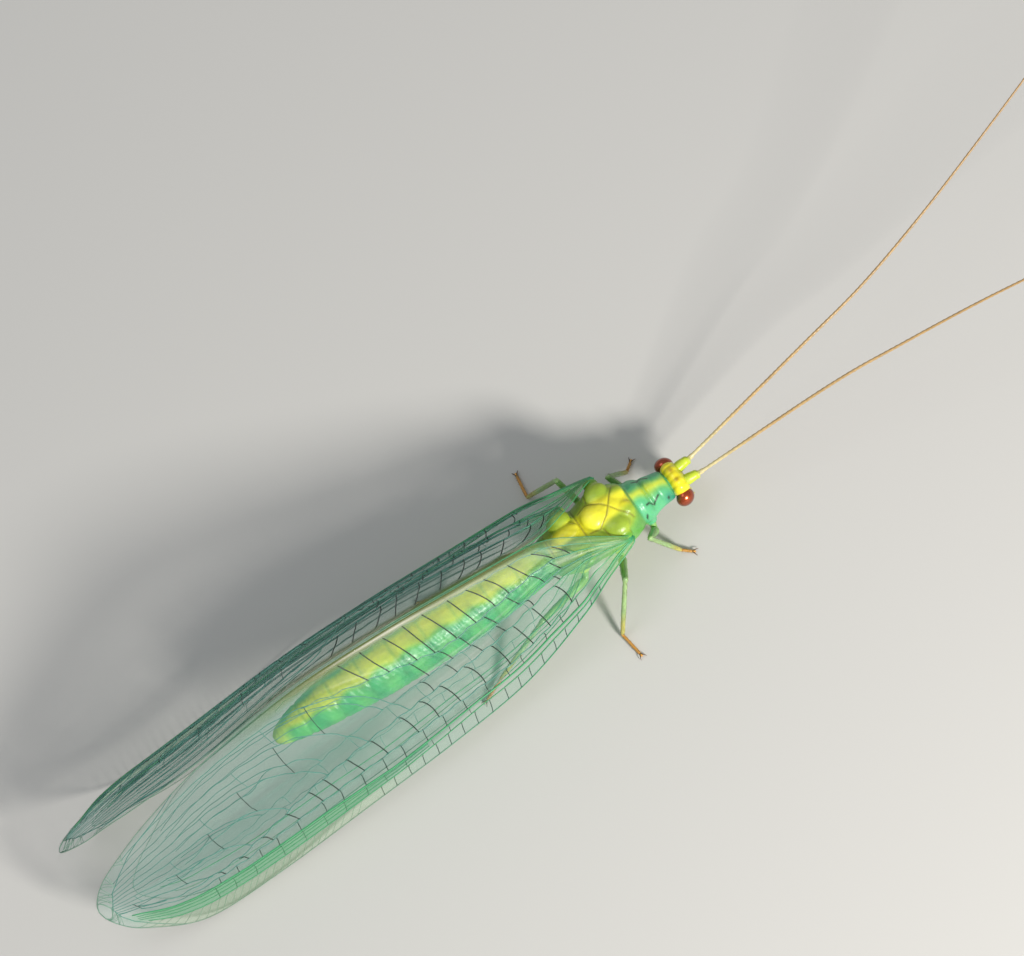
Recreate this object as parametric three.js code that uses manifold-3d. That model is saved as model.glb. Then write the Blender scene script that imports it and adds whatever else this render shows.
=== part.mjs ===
// Green lacewing at rest, its wings folded like a roof over the abdomen. It stands on
// its six feet and on the lower edges of its forewings. Millimetres: +X runs toward
// the head, +Y to the insect's left and +Z up, with the floor under the feet at z = 0.

import * as THREE from "three";
import { mergeVertices } from "three/addons/utils/BufferGeometryUtils.js";
import Module from "manifold-3d";

const wasm = await Module();
wasm.setup();

// Clearances between neighbouring parts
const GAP = 0.22;
const EYE_GAP = 0.1;
const ANTENNA_GAP = 0.14;
const RIDGE_GAP = 0.13;

// After the cuts, edges shorter than this are folded and triangles lower than this are
// turned, in a few rounds
const FINEST = 0.01;
const TIDY_ROUNDS = 6;

// Body lengths along X
const HEAD_X = 2.45;
const PROTHORAX_REAR = 1.17;
const MESOTHORAX_FRONT = 0.93;
const MESOTHORAX_REAR = -0.39;
const METATHORAX_FRONT = -0.63;
const METATHORAX_REAR = -1.56;
const ABDOMEN_FRONT = -1.8;
const ABDOMEN_TIP = -11.0;

// Head
const HEAD_Z = 1.26;
const HEAD_HALF = new THREE.Vector3(0.26, 0.5, 0.48);
const EYE_HALF = new THREE.Vector3(0.31, 0.28, 0.34);
const EYE_AT = new THREE.Vector3(2.42, 0.57, 1.22);
const FACE = { ahead: 0.09, below: 0.36, half: new THREE.Vector3(0.2, 0.32, 0.3) };
const LIP = { ahead: 0.12, below: 0.64, half: new THREE.Vector3(0.15, 0.2, 0.15) };
const JAW = { ahead: 0.02, beside: 0.14, below: 0.68, half: [0.14, 0.13, 0.16] };
// Each palp joint, as [ahead, beside, below, radius]
const PALP = [
  [0, 0.24, 0.55, 0.1],
  [0.1, 0.34, 0.74, 0.09],
  [0.28, 0.36, 0.88, 0.06],
];

// Thorax sections from front to rear, as [x, top, bottom, half width], and their lobes
const PROTHORAX_SECTIONS = [
  [1.98, 1.84, 1.0, 0.42],
  [1.84, 1.98, 0.95, 0.49],
  [1.62, 2.1, 0.9, 0.54],
  [1.48, 2.08, 0.88, 0.56],
  [1.38, 2.2, 0.86, 0.62],
  [1.26, 2.27, 0.86, 0.67],
  [PROTHORAX_REAR, 2.22, 0.9, 0.64],
];
const MESOTHORAX_SECTIONS = [
  [MESOTHORAX_FRONT, 2.3, 0.92, 0.62],
  [0.78, 2.52, 0.88, 0.78],
  [0.5, 2.72, 0.85, 0.88],
  [0.15, 2.78, 0.84, 0.9],
  [-0.15, 2.74, 0.84, 0.88],
  [MESOTHORAX_REAR, 2.62, 0.88, 0.78],
];
const METATHORAX_SECTIONS = [
  [METATHORAX_FRONT, 2.62, 0.88, 0.78],
  [-0.85, 2.74, 0.85, 0.84],
  [-1.15, 2.74, 0.88, 0.82],
  [-1.4, 2.66, 0.96, 0.74],
  [METATHORAX_REAR, 2.52, 1.08, 0.62],
];
const FRONT_LOBE = { at: [0.6, 0.3, 2.5], half: [0.3, 0.3, 0.3] };
const SIDE_LOBE = { at: [0.12, 0.55, 2.42], half: [0.42, 0.34, 0.38] };
const REAR_LOBE = { at: [-1.02, 0.42, 2.5], half: [0.34, 0.34, 0.32] };
const SHIELD_AT = new THREE.Vector3(-0.14, 0, 2.66);
const SHIELD_HALF = new THREE.Vector3(0.24, 0.36, 0.2);

// Abdomen
const ABDOMEN_SEGMENTS = 9;
const ABDOMEN_HALF_WIDTH = 0.68;
const ABDOMEN_HALF_HEIGHT = 0.82;
const ABDOMEN_MID_Z = 2.25;
const ABDOMEN_RISE = 0.3;
const SEGMENT_NOTCH = 0.07;
const SEGMENT_RINGS = 3;
// The abdomen's girth follows part of a sine, from its front to its tip
const GIRTH_FROM = 0.197;
const GIRTH_TO = 0.985;
const GIRTH_LAG = 1.1;
const GIRTH_POWER = 0.62;
const GIRTH_LEAST = 0.02;
const RISE_PIVOT = 0.45;

// Wings
const FOREWING_THICK = 0.44;
const HINDWING_THICK = 0.4;
const WING_BULGE = 0.72;
const VEIN_HEIGHT = 0.13;
const VEIN_HALF = 0.022;
const RIDGE_OVERRUN = -0.09;
const FOREWING_STEPS = 18;
const HINDWING_STEPS = 13;
const FOREWING_VEINS = [0.13, 0.3, 0.47, 0.63, 0.77, 0.88];
const HINDWING_VEINS = [0.15, 0.38, 0.6, 0.8];
const HINDWING_SPAN = [0.1, 0.93];
const HINDWING_CHORD = [0.02, 0.76];
// The roof arches from its root on, and the slabs thin a little toward their tips
const ARCH_START = 0.06;
const ARCH_POWER = 0.5;
const TIP_THINNING = 0.35;
const TIP_SHARPNESS = 6;
const SURFACE_STEP = 0.01;
// The left and right wings meet along the ridge up to here
const FOREWING_RIDGE_END = 0.72;
const HINDWING_RIDGE_END = 0.7;
const RIDGE_EASE = 0.1;
// The hindwing narrows toward its tip from here, by these shares of the chord
const HINDWING_NARROWS = { from: 0.8, top: 0.25, bottom: 0.22 };

// The forewing's upper edge, which lies along the ridge of the roof, and its lower
// edge, the costal margin, as the left wing has them. The points pair off, root to tip.
const FOREWING_UPPER_EDGE = [
  [0.3, 0.98, 2.62],
  [-1.87, 0, 3.77],
  [-4.2, 0, 4.38],
  [-6.8, 0, 5.02],
  [-9.8, 0, 5.35],
  [-13.0, 0, 4.51],
  [-15.4, 0.29, 3.68],
  [-16.9, 0.58, 2.95],
  [-17.62, 0.86, 2.42],
];
const FOREWING_LOWER_EDGE = [
  [0.38, 1.3, 2.15],
  [-1.87, 1.9, 1.45],
  [-4.2, 2.3, 0.6],
  [-6.8, 2.44, 0.36],
  [-9.8, 2.5, 0.2],
  [-13.0, 2.52, -0.04],
  [-15.4, 2.42, 0.1],
  [-16.9, 1.92, 0.9],
  [-17.68, 1.32, 1.78],
];

// Legs of the left side: points from inside the thorax to the last foot joint
const LEG_RADIUS = {
  coxa: 0.27,
  hip: 0.24,
  thigh: 0.25,
  knee: 0.23,
  shin: 0.22,
  ankle: 0.2,
  foot: 0.19,
  tip: 0.15,
};
const JOINT_SWELL = 1.04;
const THIGH_MIDDLE = 0.45;
const SHIN_MIDDLE = 0.5;
const FOOT_MIDDLE = 0.5;
const CLAW_SINK = 0.03;
const CLAW_LENGTH = 0.26;
const CLAW_RADIUS = 0.09;
const CLAW_SPREAD = 0.45;
const LEGS = {
  fore: {
    coxa: [1.22, 0.3, 1.2],
    hip: [1.16, 0.62, 0.62],
    knee: [0.92, 1.14, 1.5],
    ankle: [1.42, 1.44, 0.2],
    toe: [1.68, 1.68, 0.09],
  },
  mid: {
    coxa: [-0.02, 0.3, 1.2],
    hip: [-0.08, 0.74, 0.6],
    knee: [-0.38, 1.78, 1.78],
    ankle: [-1.28, 2.5, 0.2],
    toe: [-1.2, 3.2, 0.09],
  },
  hind: {
    coxa: [-1.05, 0.25, 1.2],
    hip: [-1.2, 0.6, 0.62],
    knee: [-2.95, 1.0, 0.98],
    ankle: [-4.75, 1.32, 0.2],
    toe: [-5.45, 1.5, 0.09],
  },
};

// Antennae of the left side, root to tip
const ANTENNA_PATH = [
  [2.5, 0.3, 1.38],
  [3.0, 0.36, 1.38],
  [3.35, 0.4, 1.44],
  [7.44, 0.78, 2.43],
  [9.8, 1.08, 2.77],
  [12.3, 1.57, 3.35],
  [15.0, 2.25, 4.02],
  [17.8, 3.05, 4.72],
  [20.2, 3.85, 5.25],
];
const SCAPE_END = 3.1;
const ANTENNA_TAPER_FROM = 0.7;
const SCAPE_RADIUS = 0.25;
const FLAGELLUM_RADIUS = 0.22;
const ANTENNA_TIP_RADIUS = 0.1;
const ANTENNA_STEPS = 18;

const COLOURS = {
  head: 0xd8cf3c,
  eye: 0xb4552f,
  antenna: 0xb9a36a,
  thorax: 0x7fae5a,
  scutum: 0xb9b843,
  abdomen: 0x9cbb4e,
  wing: 0xc4d3bd,
  hindwing: 0xb3c8b4,
  leg: 0xa3bd7a,
};

const BODY_SIDES = 16;
const LIMB_SIDES = 8;
const LEFT = 1;
const RIGHT = -1;

/** Turns a closed three.js geometry into a solid that can be joined and cut. */
function toSolid(geometry) {
  const bare = geometry.clone();
  bare.deleteAttribute("normal");
  bare.deleteAttribute("uv");
  const merged = mergeVertices(bare, 1e-5);
  const mesh = new wasm.Mesh({
    numProp: 3,
    vertProperties: Float32Array.from(merged.attributes.position.array),
    triVerts: Uint32Array.from(merged.index.array),
  });
  return new wasm.Manifold(mesh);
}

/** The height of a triangle over its longest side, and which corner faces that side. */
function triangleHeight(points, face) {
  const corner = (k) => points[face[k % 3]];
  const sides = [0, 1, 2].map((k) => corner(k + 1).distanceTo(corner(k + 2)));
  const apex = sides.indexOf(Math.max(...sides));
  const triangle = new THREE.Triangle(corner(0), corner(1), corner(2));
  return { height: (2 * triangle.getArea()) / sides[apex], apex };
}

/** Draws the two ends of each short edge together, where the surface stays closed. */
function foldShortEdges(points, faces) {
  const around = points.map(() => new Set());
  faces.forEach((face) => face.forEach((corner) => around[corner].add(face)));
  const neighbours = (corner) => new Set([...around[corner]].flat());
  const gone = new Set();
  for (const face of faces) {
    for (let k = 0; k < 3 && !gone.has(face); k++) {
      const [a, b] = [face[k], face[(k + 1) % 3]];
      if (points[a].distanceTo(points[b]) >= FINEST) continue;
      const [keep, drop] = points[a].z <= points[b].z ? [a, b] : [b, a];
      const beyond = neighbours(drop);
      const shared = [...neighbours(keep)].filter((corner) => beyond.has(corner));
      if (shared.length !== 4) continue;
      for (const other of [...around[drop]]) {
        if (other.includes(keep)) {
          gone.add(other);
          other.forEach((corner) => around[corner].delete(other));
        } else {
          other[other.indexOf(drop)] = keep;
          around[keep].add(other);
        }
      }
    }
  }
  return faces.filter((face) => !gone.has(face));
}

/** Turns the long edge of each very low triangle, which leaves two better ones. */
function turnLowTriangles(points, faces) {
  const edges = new Map();
  const key = (a, b) => a * points.length + b;
  const note = (face) => face.forEach((a, k) => edges.set(key(a, face[(k + 1) % 3]), face));
  faces.forEach(note);
  for (const face of faces) {
    const { height, apex } = triangleHeight(points, face);
    if (height >= FINEST) continue;
    const [c, a, b] = [0, 1, 2].map((k) => face[(apex + k) % 3]);
    const other = edges.get(key(b, a));
    const d = other.find((corner) => corner !== a && corner !== b);
    if (edges.has(key(c, d)) || edges.has(key(d, c))) continue;
    const turned = [[c, a, d], [c, d, b]];
    if (Math.min(...turned.map((t) => triangleHeight(points, t).height)) <= height) continue;
    edges.delete(key(a, b));
    edges.delete(key(b, a));
    face.splice(0, 3, ...turned[0]);
    other.splice(0, 3, ...turned[1]);
    [face, other].forEach(note);
  }
  return faces;
}

/** Keeps a solid's largest closed body, without slivers, as a geometry. */
function toGeometry(solid) {
  const bodies = solid.decompose();
  const largest = bodies.reduce((a, b) => (b.volume() > a.volume() ? b : a));
  const { vertProperties, triVerts } = largest.getMesh();
  const points = Array.from({ length: vertProperties.length / 3 }, (_, i) =>
    new THREE.Vector3().fromArray(vertProperties, 3 * i),
  );
  let faces = Array.from({ length: triVerts.length / 3 }, (_, i) => [
    ...triVerts.subarray(3 * i, 3 * i + 3),
  ]);
  for (let round = 0; round < TIDY_ROUNDS; round++) {
    faces = turnLowTriangles(points, foldShortEdges(points, faces));
  }
  const geometry = new THREE.BufferGeometry().setFromPoints(points);
  geometry.setIndex(faces.flat());
  geometry.computeVertexNormals();
  return geometry;
}

/** Joins solids into one. */
function fuse(solids) {
  return solids.reduce((whole, piece) => whole.add(piece));
}

/** Makes a closed skin over rings of points, each ring closed and all of one length. */
function skinRings(rings) {
  const sides = rings[0].length;
  const points = rings.flat();
  const faces = [];
  for (let i = 0; i + 1 < rings.length; i++) {
    for (let k = 0; k < sides; k++) {
      const a = i * sides + k;
      const b = i * sides + ((k + 1) % sides);
      faces.push(a, b, a + sides, b, b + sides, a + sides);
    }
  }
  const ends = [rings[0], rings[rings.length - 1]];
  ends.forEach((ring, end) => {
    const centre = ring.reduce((sum, p) => sum.add(p), new THREE.Vector3());
    points.push(centre.divideScalar(sides));
    const first = end === 0 ? 0 : (rings.length - 1) * sides;
    for (let k = 0; k < sides; k++) {
      const a = first + k;
      const b = first + ((k + 1) % sides);
      faces.push(points.length - 1, ...(end === 0 ? [b, a] : [a, b]));
    }
  });
  const geometry = new THREE.BufferGeometry().setFromPoints(points);
  geometry.setIndex(faces);
  return geometry;
}

/** An ellipsoid at a point, with its half sizes grown by a clearance. */
function ellipsoid(centre, half, grow = 0, sides = 12) {
  const geometry = new THREE.SphereGeometry(1, sides, Math.round(sides * 0.7));
  geometry.scale(half.x + grow, half.y + grow, half.z + grow);
  geometry.translate(centre.x, centre.y, centre.z);
  return toSolid(geometry);
}

/** A pair of like ellipsoids, one on each side. */
function ellipsoidPair([x, y, z], [a, b, c], grow = 0) {
  const half = new THREE.Vector3(a, b, c);
  return [LEFT, RIGHT].map((side) =>
    ellipsoid(new THREE.Vector3(x, side * y, z), half, grow, 10),
  );
}

/** A trunk along X through oval sections, each [x, top, bottom, half width]. */
function trunk(sections, grow = 0) {
  const last = sections.length - 1;
  const rings = sections.map(([x, top, bottom, width], i) => {
    const shift = i === 0 ? grow : i === last ? -grow : 0;
    const middle = (top + bottom) / 2;
    const half = (top - bottom) / 2 + grow;
    return Array.from({ length: BODY_SIDES }, (_, k) => {
      const angle = (2 * Math.PI * k) / BODY_SIDES;
      const y = (width + grow) * Math.cos(angle);
      return new THREE.Vector3(x + shift, y, middle + half * Math.sin(angle));
    });
  });
  return toSolid(skinRings(rings.reverse()));
}

/** A tapered limb through points, with a radius for each. */
function limb(points, radii) {
  const path = points.map((p) => (p.isVector3 ? p : new THREE.Vector3(...p)));
  const last = path.length - 1;
  const steps = path.slice(1).map((p, i) => p.clone().sub(path[i]).normalize());
  let side = new THREE.Vector3(0, 0, 1).cross(steps[0]).normalize();
  const rings = path.map((p, i) => {
    const before = steps[Math.max(i - 1, 0)];
    const after = steps[Math.min(i, last - 1)];
    const along = before.clone().add(after).normalize();
    side = side.clone().addScaledVector(along, -side.dot(along)).normalize();
    const up = along.clone().cross(side);
    return Array.from({ length: LIMB_SIDES }, (_, k) => {
      const angle = (2 * Math.PI * k) / LIMB_SIDES;
      return p
        .clone()
        .addScaledVector(side, radii[i] * Math.cos(angle))
        .addScaledVector(up, radii[i] * Math.sin(angle));
    });
  });
  return toSolid(skinRings(rings));
}

/** The mirror image of a point list for the right side. */
function onSide([x, y, z], side) {
  return new THREE.Vector3(x, side * y, z);
}

/** The block below the floor, which cuts small flats under feet and wings. */
function underFloor() {
  const block = new THREE.BoxGeometry(60, 20, 4);
  block.translate(0, 0, -2);
  return toSolid(block);
}

/** The head capsule with its face, upper lip, jaws and palps. */
function headSolid(grow = 0) {
  const at = (ahead, beside, below) => new THREE.Vector3(HEAD_X + ahead, beside, HEAD_Z - below);
  const skull = ellipsoid(at(0, 0, 0), HEAD_HALF, grow, 16);
  const face = ellipsoid(at(FACE.ahead, 0, FACE.below), FACE.half, grow);
  const lip = ellipsoid(at(LIP.ahead, 0, LIP.below), LIP.half, grow);
  const jaws = ellipsoidPair(at(JAW.ahead, JAW.beside, JAW.below).toArray(), JAW.half, grow);
  const palps = [LEFT, RIGHT].map((side) =>
    limb(
      PALP.map(([ahead, beside, below]) => at(ahead, side * beside, below)),
      PALP.map((joint) => joint[3] + grow),
    ),
  );
  const eyes = [LEFT, RIGHT].map((side) => eyeSolid(side, EYE_GAP - grow));
  return fuse([skull, face, lip, ...jaws, ...palps]).subtract(fuse(eyes));
}

/** A bulging compound eye. */
function eyeSolid(side, grow = 0) {
  return ellipsoid(onSide(EYE_AT.toArray(), side), EYE_HALF, grow, 16);
}

/** The prothorax: a narrow collar with a furrow across it. */
function prothoraxSolid(grow = 0) {
  return trunk(PROTHORAX_SECTIONS, grow);
}

/** The mesothorax, with its front and side lobes and the round shield behind them. */
function mesothoraxSolid(grow = 0) {
  const frontLobes = ellipsoidPair(FRONT_LOBE.at, FRONT_LOBE.half, grow);
  const sideLobes = ellipsoidPair(SIDE_LOBE.at, SIDE_LOBE.half, grow);
  const shield = ellipsoid(SHIELD_AT, SHIELD_HALF, grow, 14);
  return fuse([trunk(MESOTHORAX_SECTIONS, grow), ...frontLobes, ...sideLobes, shield]);
}

/** The metathorax, with its two side lobes. */
function metathoraxSolid(grow = 0) {
  const lobes = ellipsoidPair(REAR_LOBE.at, REAR_LOBE.half, grow);
  return fuse([trunk(METATHORAX_SECTIONS, grow), ...lobes]);
}

/** The long abdomen, notched between its segments. */
function abdomenSolid(grow = 0) {
  const steps = ABDOMEN_SEGMENTS * SEGMENT_RINGS;
  const sections = Array.from({ length: steps + 1 }, (_, i) => {
    const along = i / steps;
    const x = THREE.MathUtils.lerp(ABDOMEN_FRONT, ABDOMEN_TIP, along);
    const phase = THREE.MathUtils.lerp(GIRTH_FROM, GIRTH_TO, Math.pow(along, GIRTH_LAG));
    const taper = Math.pow(Math.max(Math.sin(Math.PI * phase), GIRTH_LEAST), GIRTH_POWER);
    const atJoint = i % SEGMENT_RINGS === 0 && i > 0 && i < steps;
    const notch = atJoint ? 1 - SEGMENT_NOTCH : 1;
    const middle = ABDOMEN_MID_Z + ABDOMEN_RISE * (along - RISE_PIVOT);
    const high = ABDOMEN_HALF_HEIGHT * taper * notch;
    return [x, middle + high, middle - high, ABDOMEN_HALF_WIDTH * taper * notch];
  });
  return trunk(sections, grow);
}

const upperEdge = new THREE.CatmullRomCurve3(
  FOREWING_UPPER_EDGE.map((p) => new THREE.Vector3(...p)),
);
const lowerEdge = new THREE.CatmullRomCurve3(
  FOREWING_LOWER_EDGE.map((p) => new THREE.Vector3(...p)),
);

/** The middle of the left wing roof at s, doubled. */
function roofMiddle(s) {
  const at = THREE.MathUtils.clamp(s, 0, 1);
  return upperEdge.getPoint(at).add(lowerEdge.getPoint(at));
}

/** A point of the left wing roof: s runs root to tip, t upper to lower edge. */
function roofPoint(s, t, depth) {
  const top = upperEdge.getPoint(s);
  const across = lowerEdge.getPoint(s).sub(top);
  const along = roofMiddle(s + SURFACE_STEP).sub(roofMiddle(s - SURFACE_STEP));
  const outward = across.clone().cross(along).normalize();
  const phase = THREE.MathUtils.lerp(ARCH_START, 1, s);
  const fullness = Math.pow(Math.sin(Math.PI * phase), ARCH_POWER);
  const bulge = WING_BULGE * fullness * 4 * t * (1 - t);
  return top.addScaledVector(across, t).addScaledVector(outward, bulge - depth);
}

/** The rows of a wing's grid: three along each vein, between an upper and a lower row. */
function veinRows(veins) {
  return [0, ...veins.flatMap((v) => [v - VEIN_HALF, v, v + VEIN_HALF]), 1];
}

/** A wing slab with its main veins raised; chord(s) gives its upper and lower t at s. */
function wingSlab(span, chord, veins, steps, depth, thick, side) {
  const rows = veinRows(veins);
  const raised = new Set(veins);
  const face = (isOuter) =>
    Array.from({ length: steps + 1 }, (_, i) => {
      const s = THREE.MathUtils.lerp(span[0], span[1], i / steps);
      const [tTop, tBottom] = chord(s);
      const thin = 1 - TIP_THINNING * Math.pow(i / steps, TIP_SHARPNESS);
      return rows.map((row) => {
        const t = THREE.MathUtils.lerp(tTop, tBottom, row);
        const lift = raised.has(row) && i > 0 && i < steps ? VEIN_HEIGHT : 0;
        const p = roofPoint(s, t, isOuter ? depth - lift : depth + thick * thin);
        p.y *= side;
        return p;
      });
    });
  const loop = (i, outer, inner) => [...outer[i], ...inner[i].slice().reverse()];
  const outer = face(true);
  const inner = face(false);
  const rings = outer.map((_, i) => loop(i, outer, inner));
  return toSolid(skinSlab(rings, rows.length, side));
}

/** Closes a stack of flat rings whose halves lie on two faces, triangulated alike. */
function skinSlab(rings, half, side) {
  const around = rings[0].length;
  const faces = [];
  const add = (...corners) => faces.push(...(side === LEFT ? corners : corners.reverse()));
  for (let i = 0; i + 1 < rings.length; i++) {
    for (let k = 0; k < around; k++) {
      const a = i * around + k;
      const b = i * around + ((k + 1) % around);
      const flip = k >= half;
      if (flip) {
        add(a, b, b + around);
        add(a, b + around, a + around);
      } else {
        add(a, b, a + around);
        add(b, b + around, a + around);
      }
    }
  }
  const last = (rings.length - 1) * around;
  for (let k = 0; k + 1 < half; k++) {
    const far = around - 1 - k;
    add(k, far, far - 1);
    add(k, far - 1, k + 1);
    add(last + k, last + far - 1, last + far);
    add(last + k, last + k + 1, last + far - 1);
  }
  const geometry = new THREE.BufferGeometry().setFromPoints(rings.flat());
  geometry.setIndex(faces);
  return geometry;
}

/** How far a wing slab runs past the ridge before it is mitred there. */
function ridgeOverrun(s, ridgeEnd) {
  return RIDGE_OVERRUN * THREE.MathUtils.smoothstep(ridgeEnd - s, 0, RIDGE_EASE);
}

/** Everything on the far side of the ridge from a wing. */
function acrossRidge(side) {
  const block = new THREE.BoxGeometry(40, 10, 20);
  block.translate(-8, side * (RIDGE_GAP - 5), 0);
  return toSolid(block);
}

/** A forewing, mitred along the ridge and flat where it meets the floor. */
function forewingSolid(side) {
  const chord = (s) => [ridgeOverrun(s, FOREWING_RIDGE_END), 1];
  const slab = wingSlab([0, 1], chord, FOREWING_VEINS, FOREWING_STEPS, 0, FOREWING_THICK, side);
  return slab
    .subtract(acrossRidge(side))
    .subtract(mesothoraxSolid(GAP))
    .subtract(metathoraxSolid(GAP))
    .subtract(underFloor());
}

/** A hindwing, which lies close under the forewing and is shorter and narrower. */
function hindwingSolid(side) {
  const chord = (s) => {
    const ending = THREE.MathUtils.smoothstep(s, HINDWING_NARROWS.from, HINDWING_SPAN[1]);
    const top = HINDWING_CHORD[0] + HINDWING_NARROWS.top * ending;
    const bottom = HINDWING_CHORD[1] - HINDWING_NARROWS.bottom * ending;
    return [top + ridgeOverrun(s, HINDWING_RIDGE_END), bottom];
  };
  const depth = FOREWING_THICK + GAP;
  const slab = wingSlab(
    HINDWING_SPAN, chord, HINDWING_VEINS, HINDWING_STEPS, depth, HINDWING_THICK, side,
  );
  return slab
    .subtract(acrossRidge(side))
    .subtract(mesothoraxSolid(GAP))
    .subtract(metathoraxSolid(GAP))
    .subtract(abdomenSolid(GAP));
}

/** A leg from the hip joint to the claws: straight pieces that meet in round joints. */
function legSolid({ coxa, hip, knee, ankle, toe }, side, body) {
  const [start, bend, top, end, tip] = [coxa, hip, knee, ankle, toe].map((p) => onSide(p, side));
  const r = LEG_RADIUS;
  const between = (a, b, share) => a.clone().lerp(b, share);
  const pieces = [
    limb([start, bend], [r.coxa, r.coxa]),
    limb([bend, between(bend, top, THIGH_MIDDLE), top], [r.hip, r.thigh, r.knee]),
    limb([top, between(top, end, SHIN_MIDDLE), end], [r.knee, r.shin, r.ankle]),
    limb([end, between(end, tip, FOOT_MIDDLE), tip], [r.ankle, r.foot, r.tip]),
  ];
  const joints = [[bend, r.coxa], [top, r.knee], [end, r.ankle]].map(([at, radius]) =>
    ellipsoid(at, new THREE.Vector3(1, 1, 1).multiplyScalar(radius * JOINT_SWELL), 0, 10),
  );
  const forward = tip.clone().sub(end).setZ(0).normalize();
  const claws = [LEFT, RIGHT].map((hand) => {
    const turn = forward.clone().applyAxisAngle(new THREE.Vector3(0, 0, 1), hand * CLAW_SPREAD);
    const claw = new THREE.ConeGeometry(CLAW_RADIUS, CLAW_LENGTH, 6);
    claw.translate(0, CLAW_LENGTH / 2, 0);
    claw.applyQuaternion(
      new THREE.Quaternion().setFromUnitVectors(new THREE.Vector3(0, 1, 0), turn),
    );
    claw.translate(tip.x, tip.y, tip.z - CLAW_SINK);
    return toSolid(claw);
  });
  return body
    .reduce((leg, trunkSolid) => leg.subtract(trunkSolid), fuse([...pieces, ...joints, ...claws]))
    .subtract(underFloor());
}

/** A feeler: a stout first joint and a long, gently bowed lash. */
function antennaSolid(side) {
  const path = new THREE.CatmullRomCurve3(ANTENNA_PATH.map((p) => onSide(p, side)));
  const points = path.getPoints(ANTENNA_STEPS);
  const radii = points.map((p, i) => {
    const along = i / ANTENNA_STEPS;
    if (p.x < SCAPE_END) return SCAPE_RADIUS;
    const taper = THREE.MathUtils.smoothstep(along, ANTENNA_TAPER_FROM, 1);
    return THREE.MathUtils.lerp(FLAGELLUM_RADIUS, ANTENNA_TIP_RADIUS, taper);
  });
  return limb(points, radii).subtract(headSolid(ANTENNA_GAP));
}

/** A named mesh in its own colour. */
function part(name, solid, colour, roughness = 0.5) {
  const material = new THREE.MeshStandardMaterial({ color: colour, roughness, metalness: 0 });
  const mesh = new THREE.Mesh(toGeometry(solid), material);
  mesh.name = name;
  return mesh;
}

const lacewing = new THREE.Group();
lacewing.name = "green_lacewing";
lacewing.add(
  part("head", headSolid(), COLOURS.head, 0.35),
  part("prothorax", prothoraxSolid(), COLOURS.thorax),
  part("mesothorax", mesothoraxSolid(), COLOURS.scutum),
  part("metathorax", metathoraxSolid(), COLOURS.thorax),
  part("abdomen", abdomenSolid(), COLOURS.abdomen),
);
const LEG_BODIES = {
  fore: [prothoraxSolid(GAP), mesothoraxSolid(GAP)],
  mid: [mesothoraxSolid(GAP), metathoraxSolid(GAP)],
  hind: [metathoraxSolid(GAP), abdomenSolid(GAP)],
};
for (const [sideName, side] of [["left", LEFT], ["right", RIGHT]]) {
  lacewing.add(
    part(`eye_${sideName}`, eyeSolid(side), COLOURS.eye, 0.2),
    part(`antenna_${sideName}`, antennaSolid(side), COLOURS.antenna),
    part(`forewing_${sideName}`, forewingSolid(side), COLOURS.wing, 0.25),
    part(`hindwing_${sideName}`, hindwingSolid(side), COLOURS.hindwing, 0.25),
  );
  for (const [place, leg] of Object.entries(LEGS)) {
    const solid = legSolid(leg, side, LEG_BODIES[place]);
    lacewing.add(part(`${place}leg_${sideName}`, solid, COLOURS.leg));
  }
}

// The origin is the middle of the lacewing's footprint, on the floor.
const box = new THREE.Box3().setFromObject(lacewing);
const middle = box.getCenter(new THREE.Vector3());
lacewing.position.set(-middle.x, -middle.y, -box.min.z);

export default lacewing;
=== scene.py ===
"""The looks of a green lacewing at rest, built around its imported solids.

Every length here is in millimetres in the insect's own frame: +X runs toward the head,
+Y to its left and +Z up, with x = 0 under the middle of the thorax. Workbench.place
moves a finished mesh into the row frame, in metres.
"""

import logging
import math
from dataclasses import dataclass
from enum import Enum
from typing import Sequence

import bpy
import numpy as np
from mathutils import Matrix, Vector


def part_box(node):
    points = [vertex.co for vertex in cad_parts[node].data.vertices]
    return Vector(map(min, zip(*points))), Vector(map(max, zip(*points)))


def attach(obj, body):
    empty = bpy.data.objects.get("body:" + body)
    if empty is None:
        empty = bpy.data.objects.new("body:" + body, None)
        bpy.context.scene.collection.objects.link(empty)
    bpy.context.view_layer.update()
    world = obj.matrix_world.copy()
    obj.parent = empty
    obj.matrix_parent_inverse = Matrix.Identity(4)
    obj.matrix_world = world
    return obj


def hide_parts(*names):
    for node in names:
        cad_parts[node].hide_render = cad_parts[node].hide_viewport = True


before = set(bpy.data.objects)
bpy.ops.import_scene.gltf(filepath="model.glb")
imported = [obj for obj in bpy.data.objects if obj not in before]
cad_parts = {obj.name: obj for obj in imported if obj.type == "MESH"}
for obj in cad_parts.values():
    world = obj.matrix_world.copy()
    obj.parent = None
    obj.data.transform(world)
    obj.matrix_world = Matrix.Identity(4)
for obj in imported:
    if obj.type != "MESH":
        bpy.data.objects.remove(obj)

LOG = logging.getLogger("lacewing")
MM = 0.001
EYE_STATION = 2.42
TINT = "Tint"
HAIR_CORNERS = (0.0, 2.094, 4.189)
TINY = 1e-9
Array = np.ndarray
Point = tuple[float, float, float]
Colour = tuple[float, float, float]


class Side(Enum):
    """The insect's two sides, as the sign of y."""

    LEFT = 1
    RIGHT = -1

    @property
    def word(self) -> str:
        """The side's name in a piece's name."""
        return self.name.lower()


def smooth(low: float, high: float, value: Array) -> Array:
    """A soft step from 0 at low to 1 at high.

    Args:
        low: where the step starts.
        high: where it ends.
        value: the numbers to map.

    Returns:
        The step's height at each value.
    """
    share = np.clip((value - low) / (high - low), 0.0, 1.0)
    return share * share * (3.0 - 2.0 * share)


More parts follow.
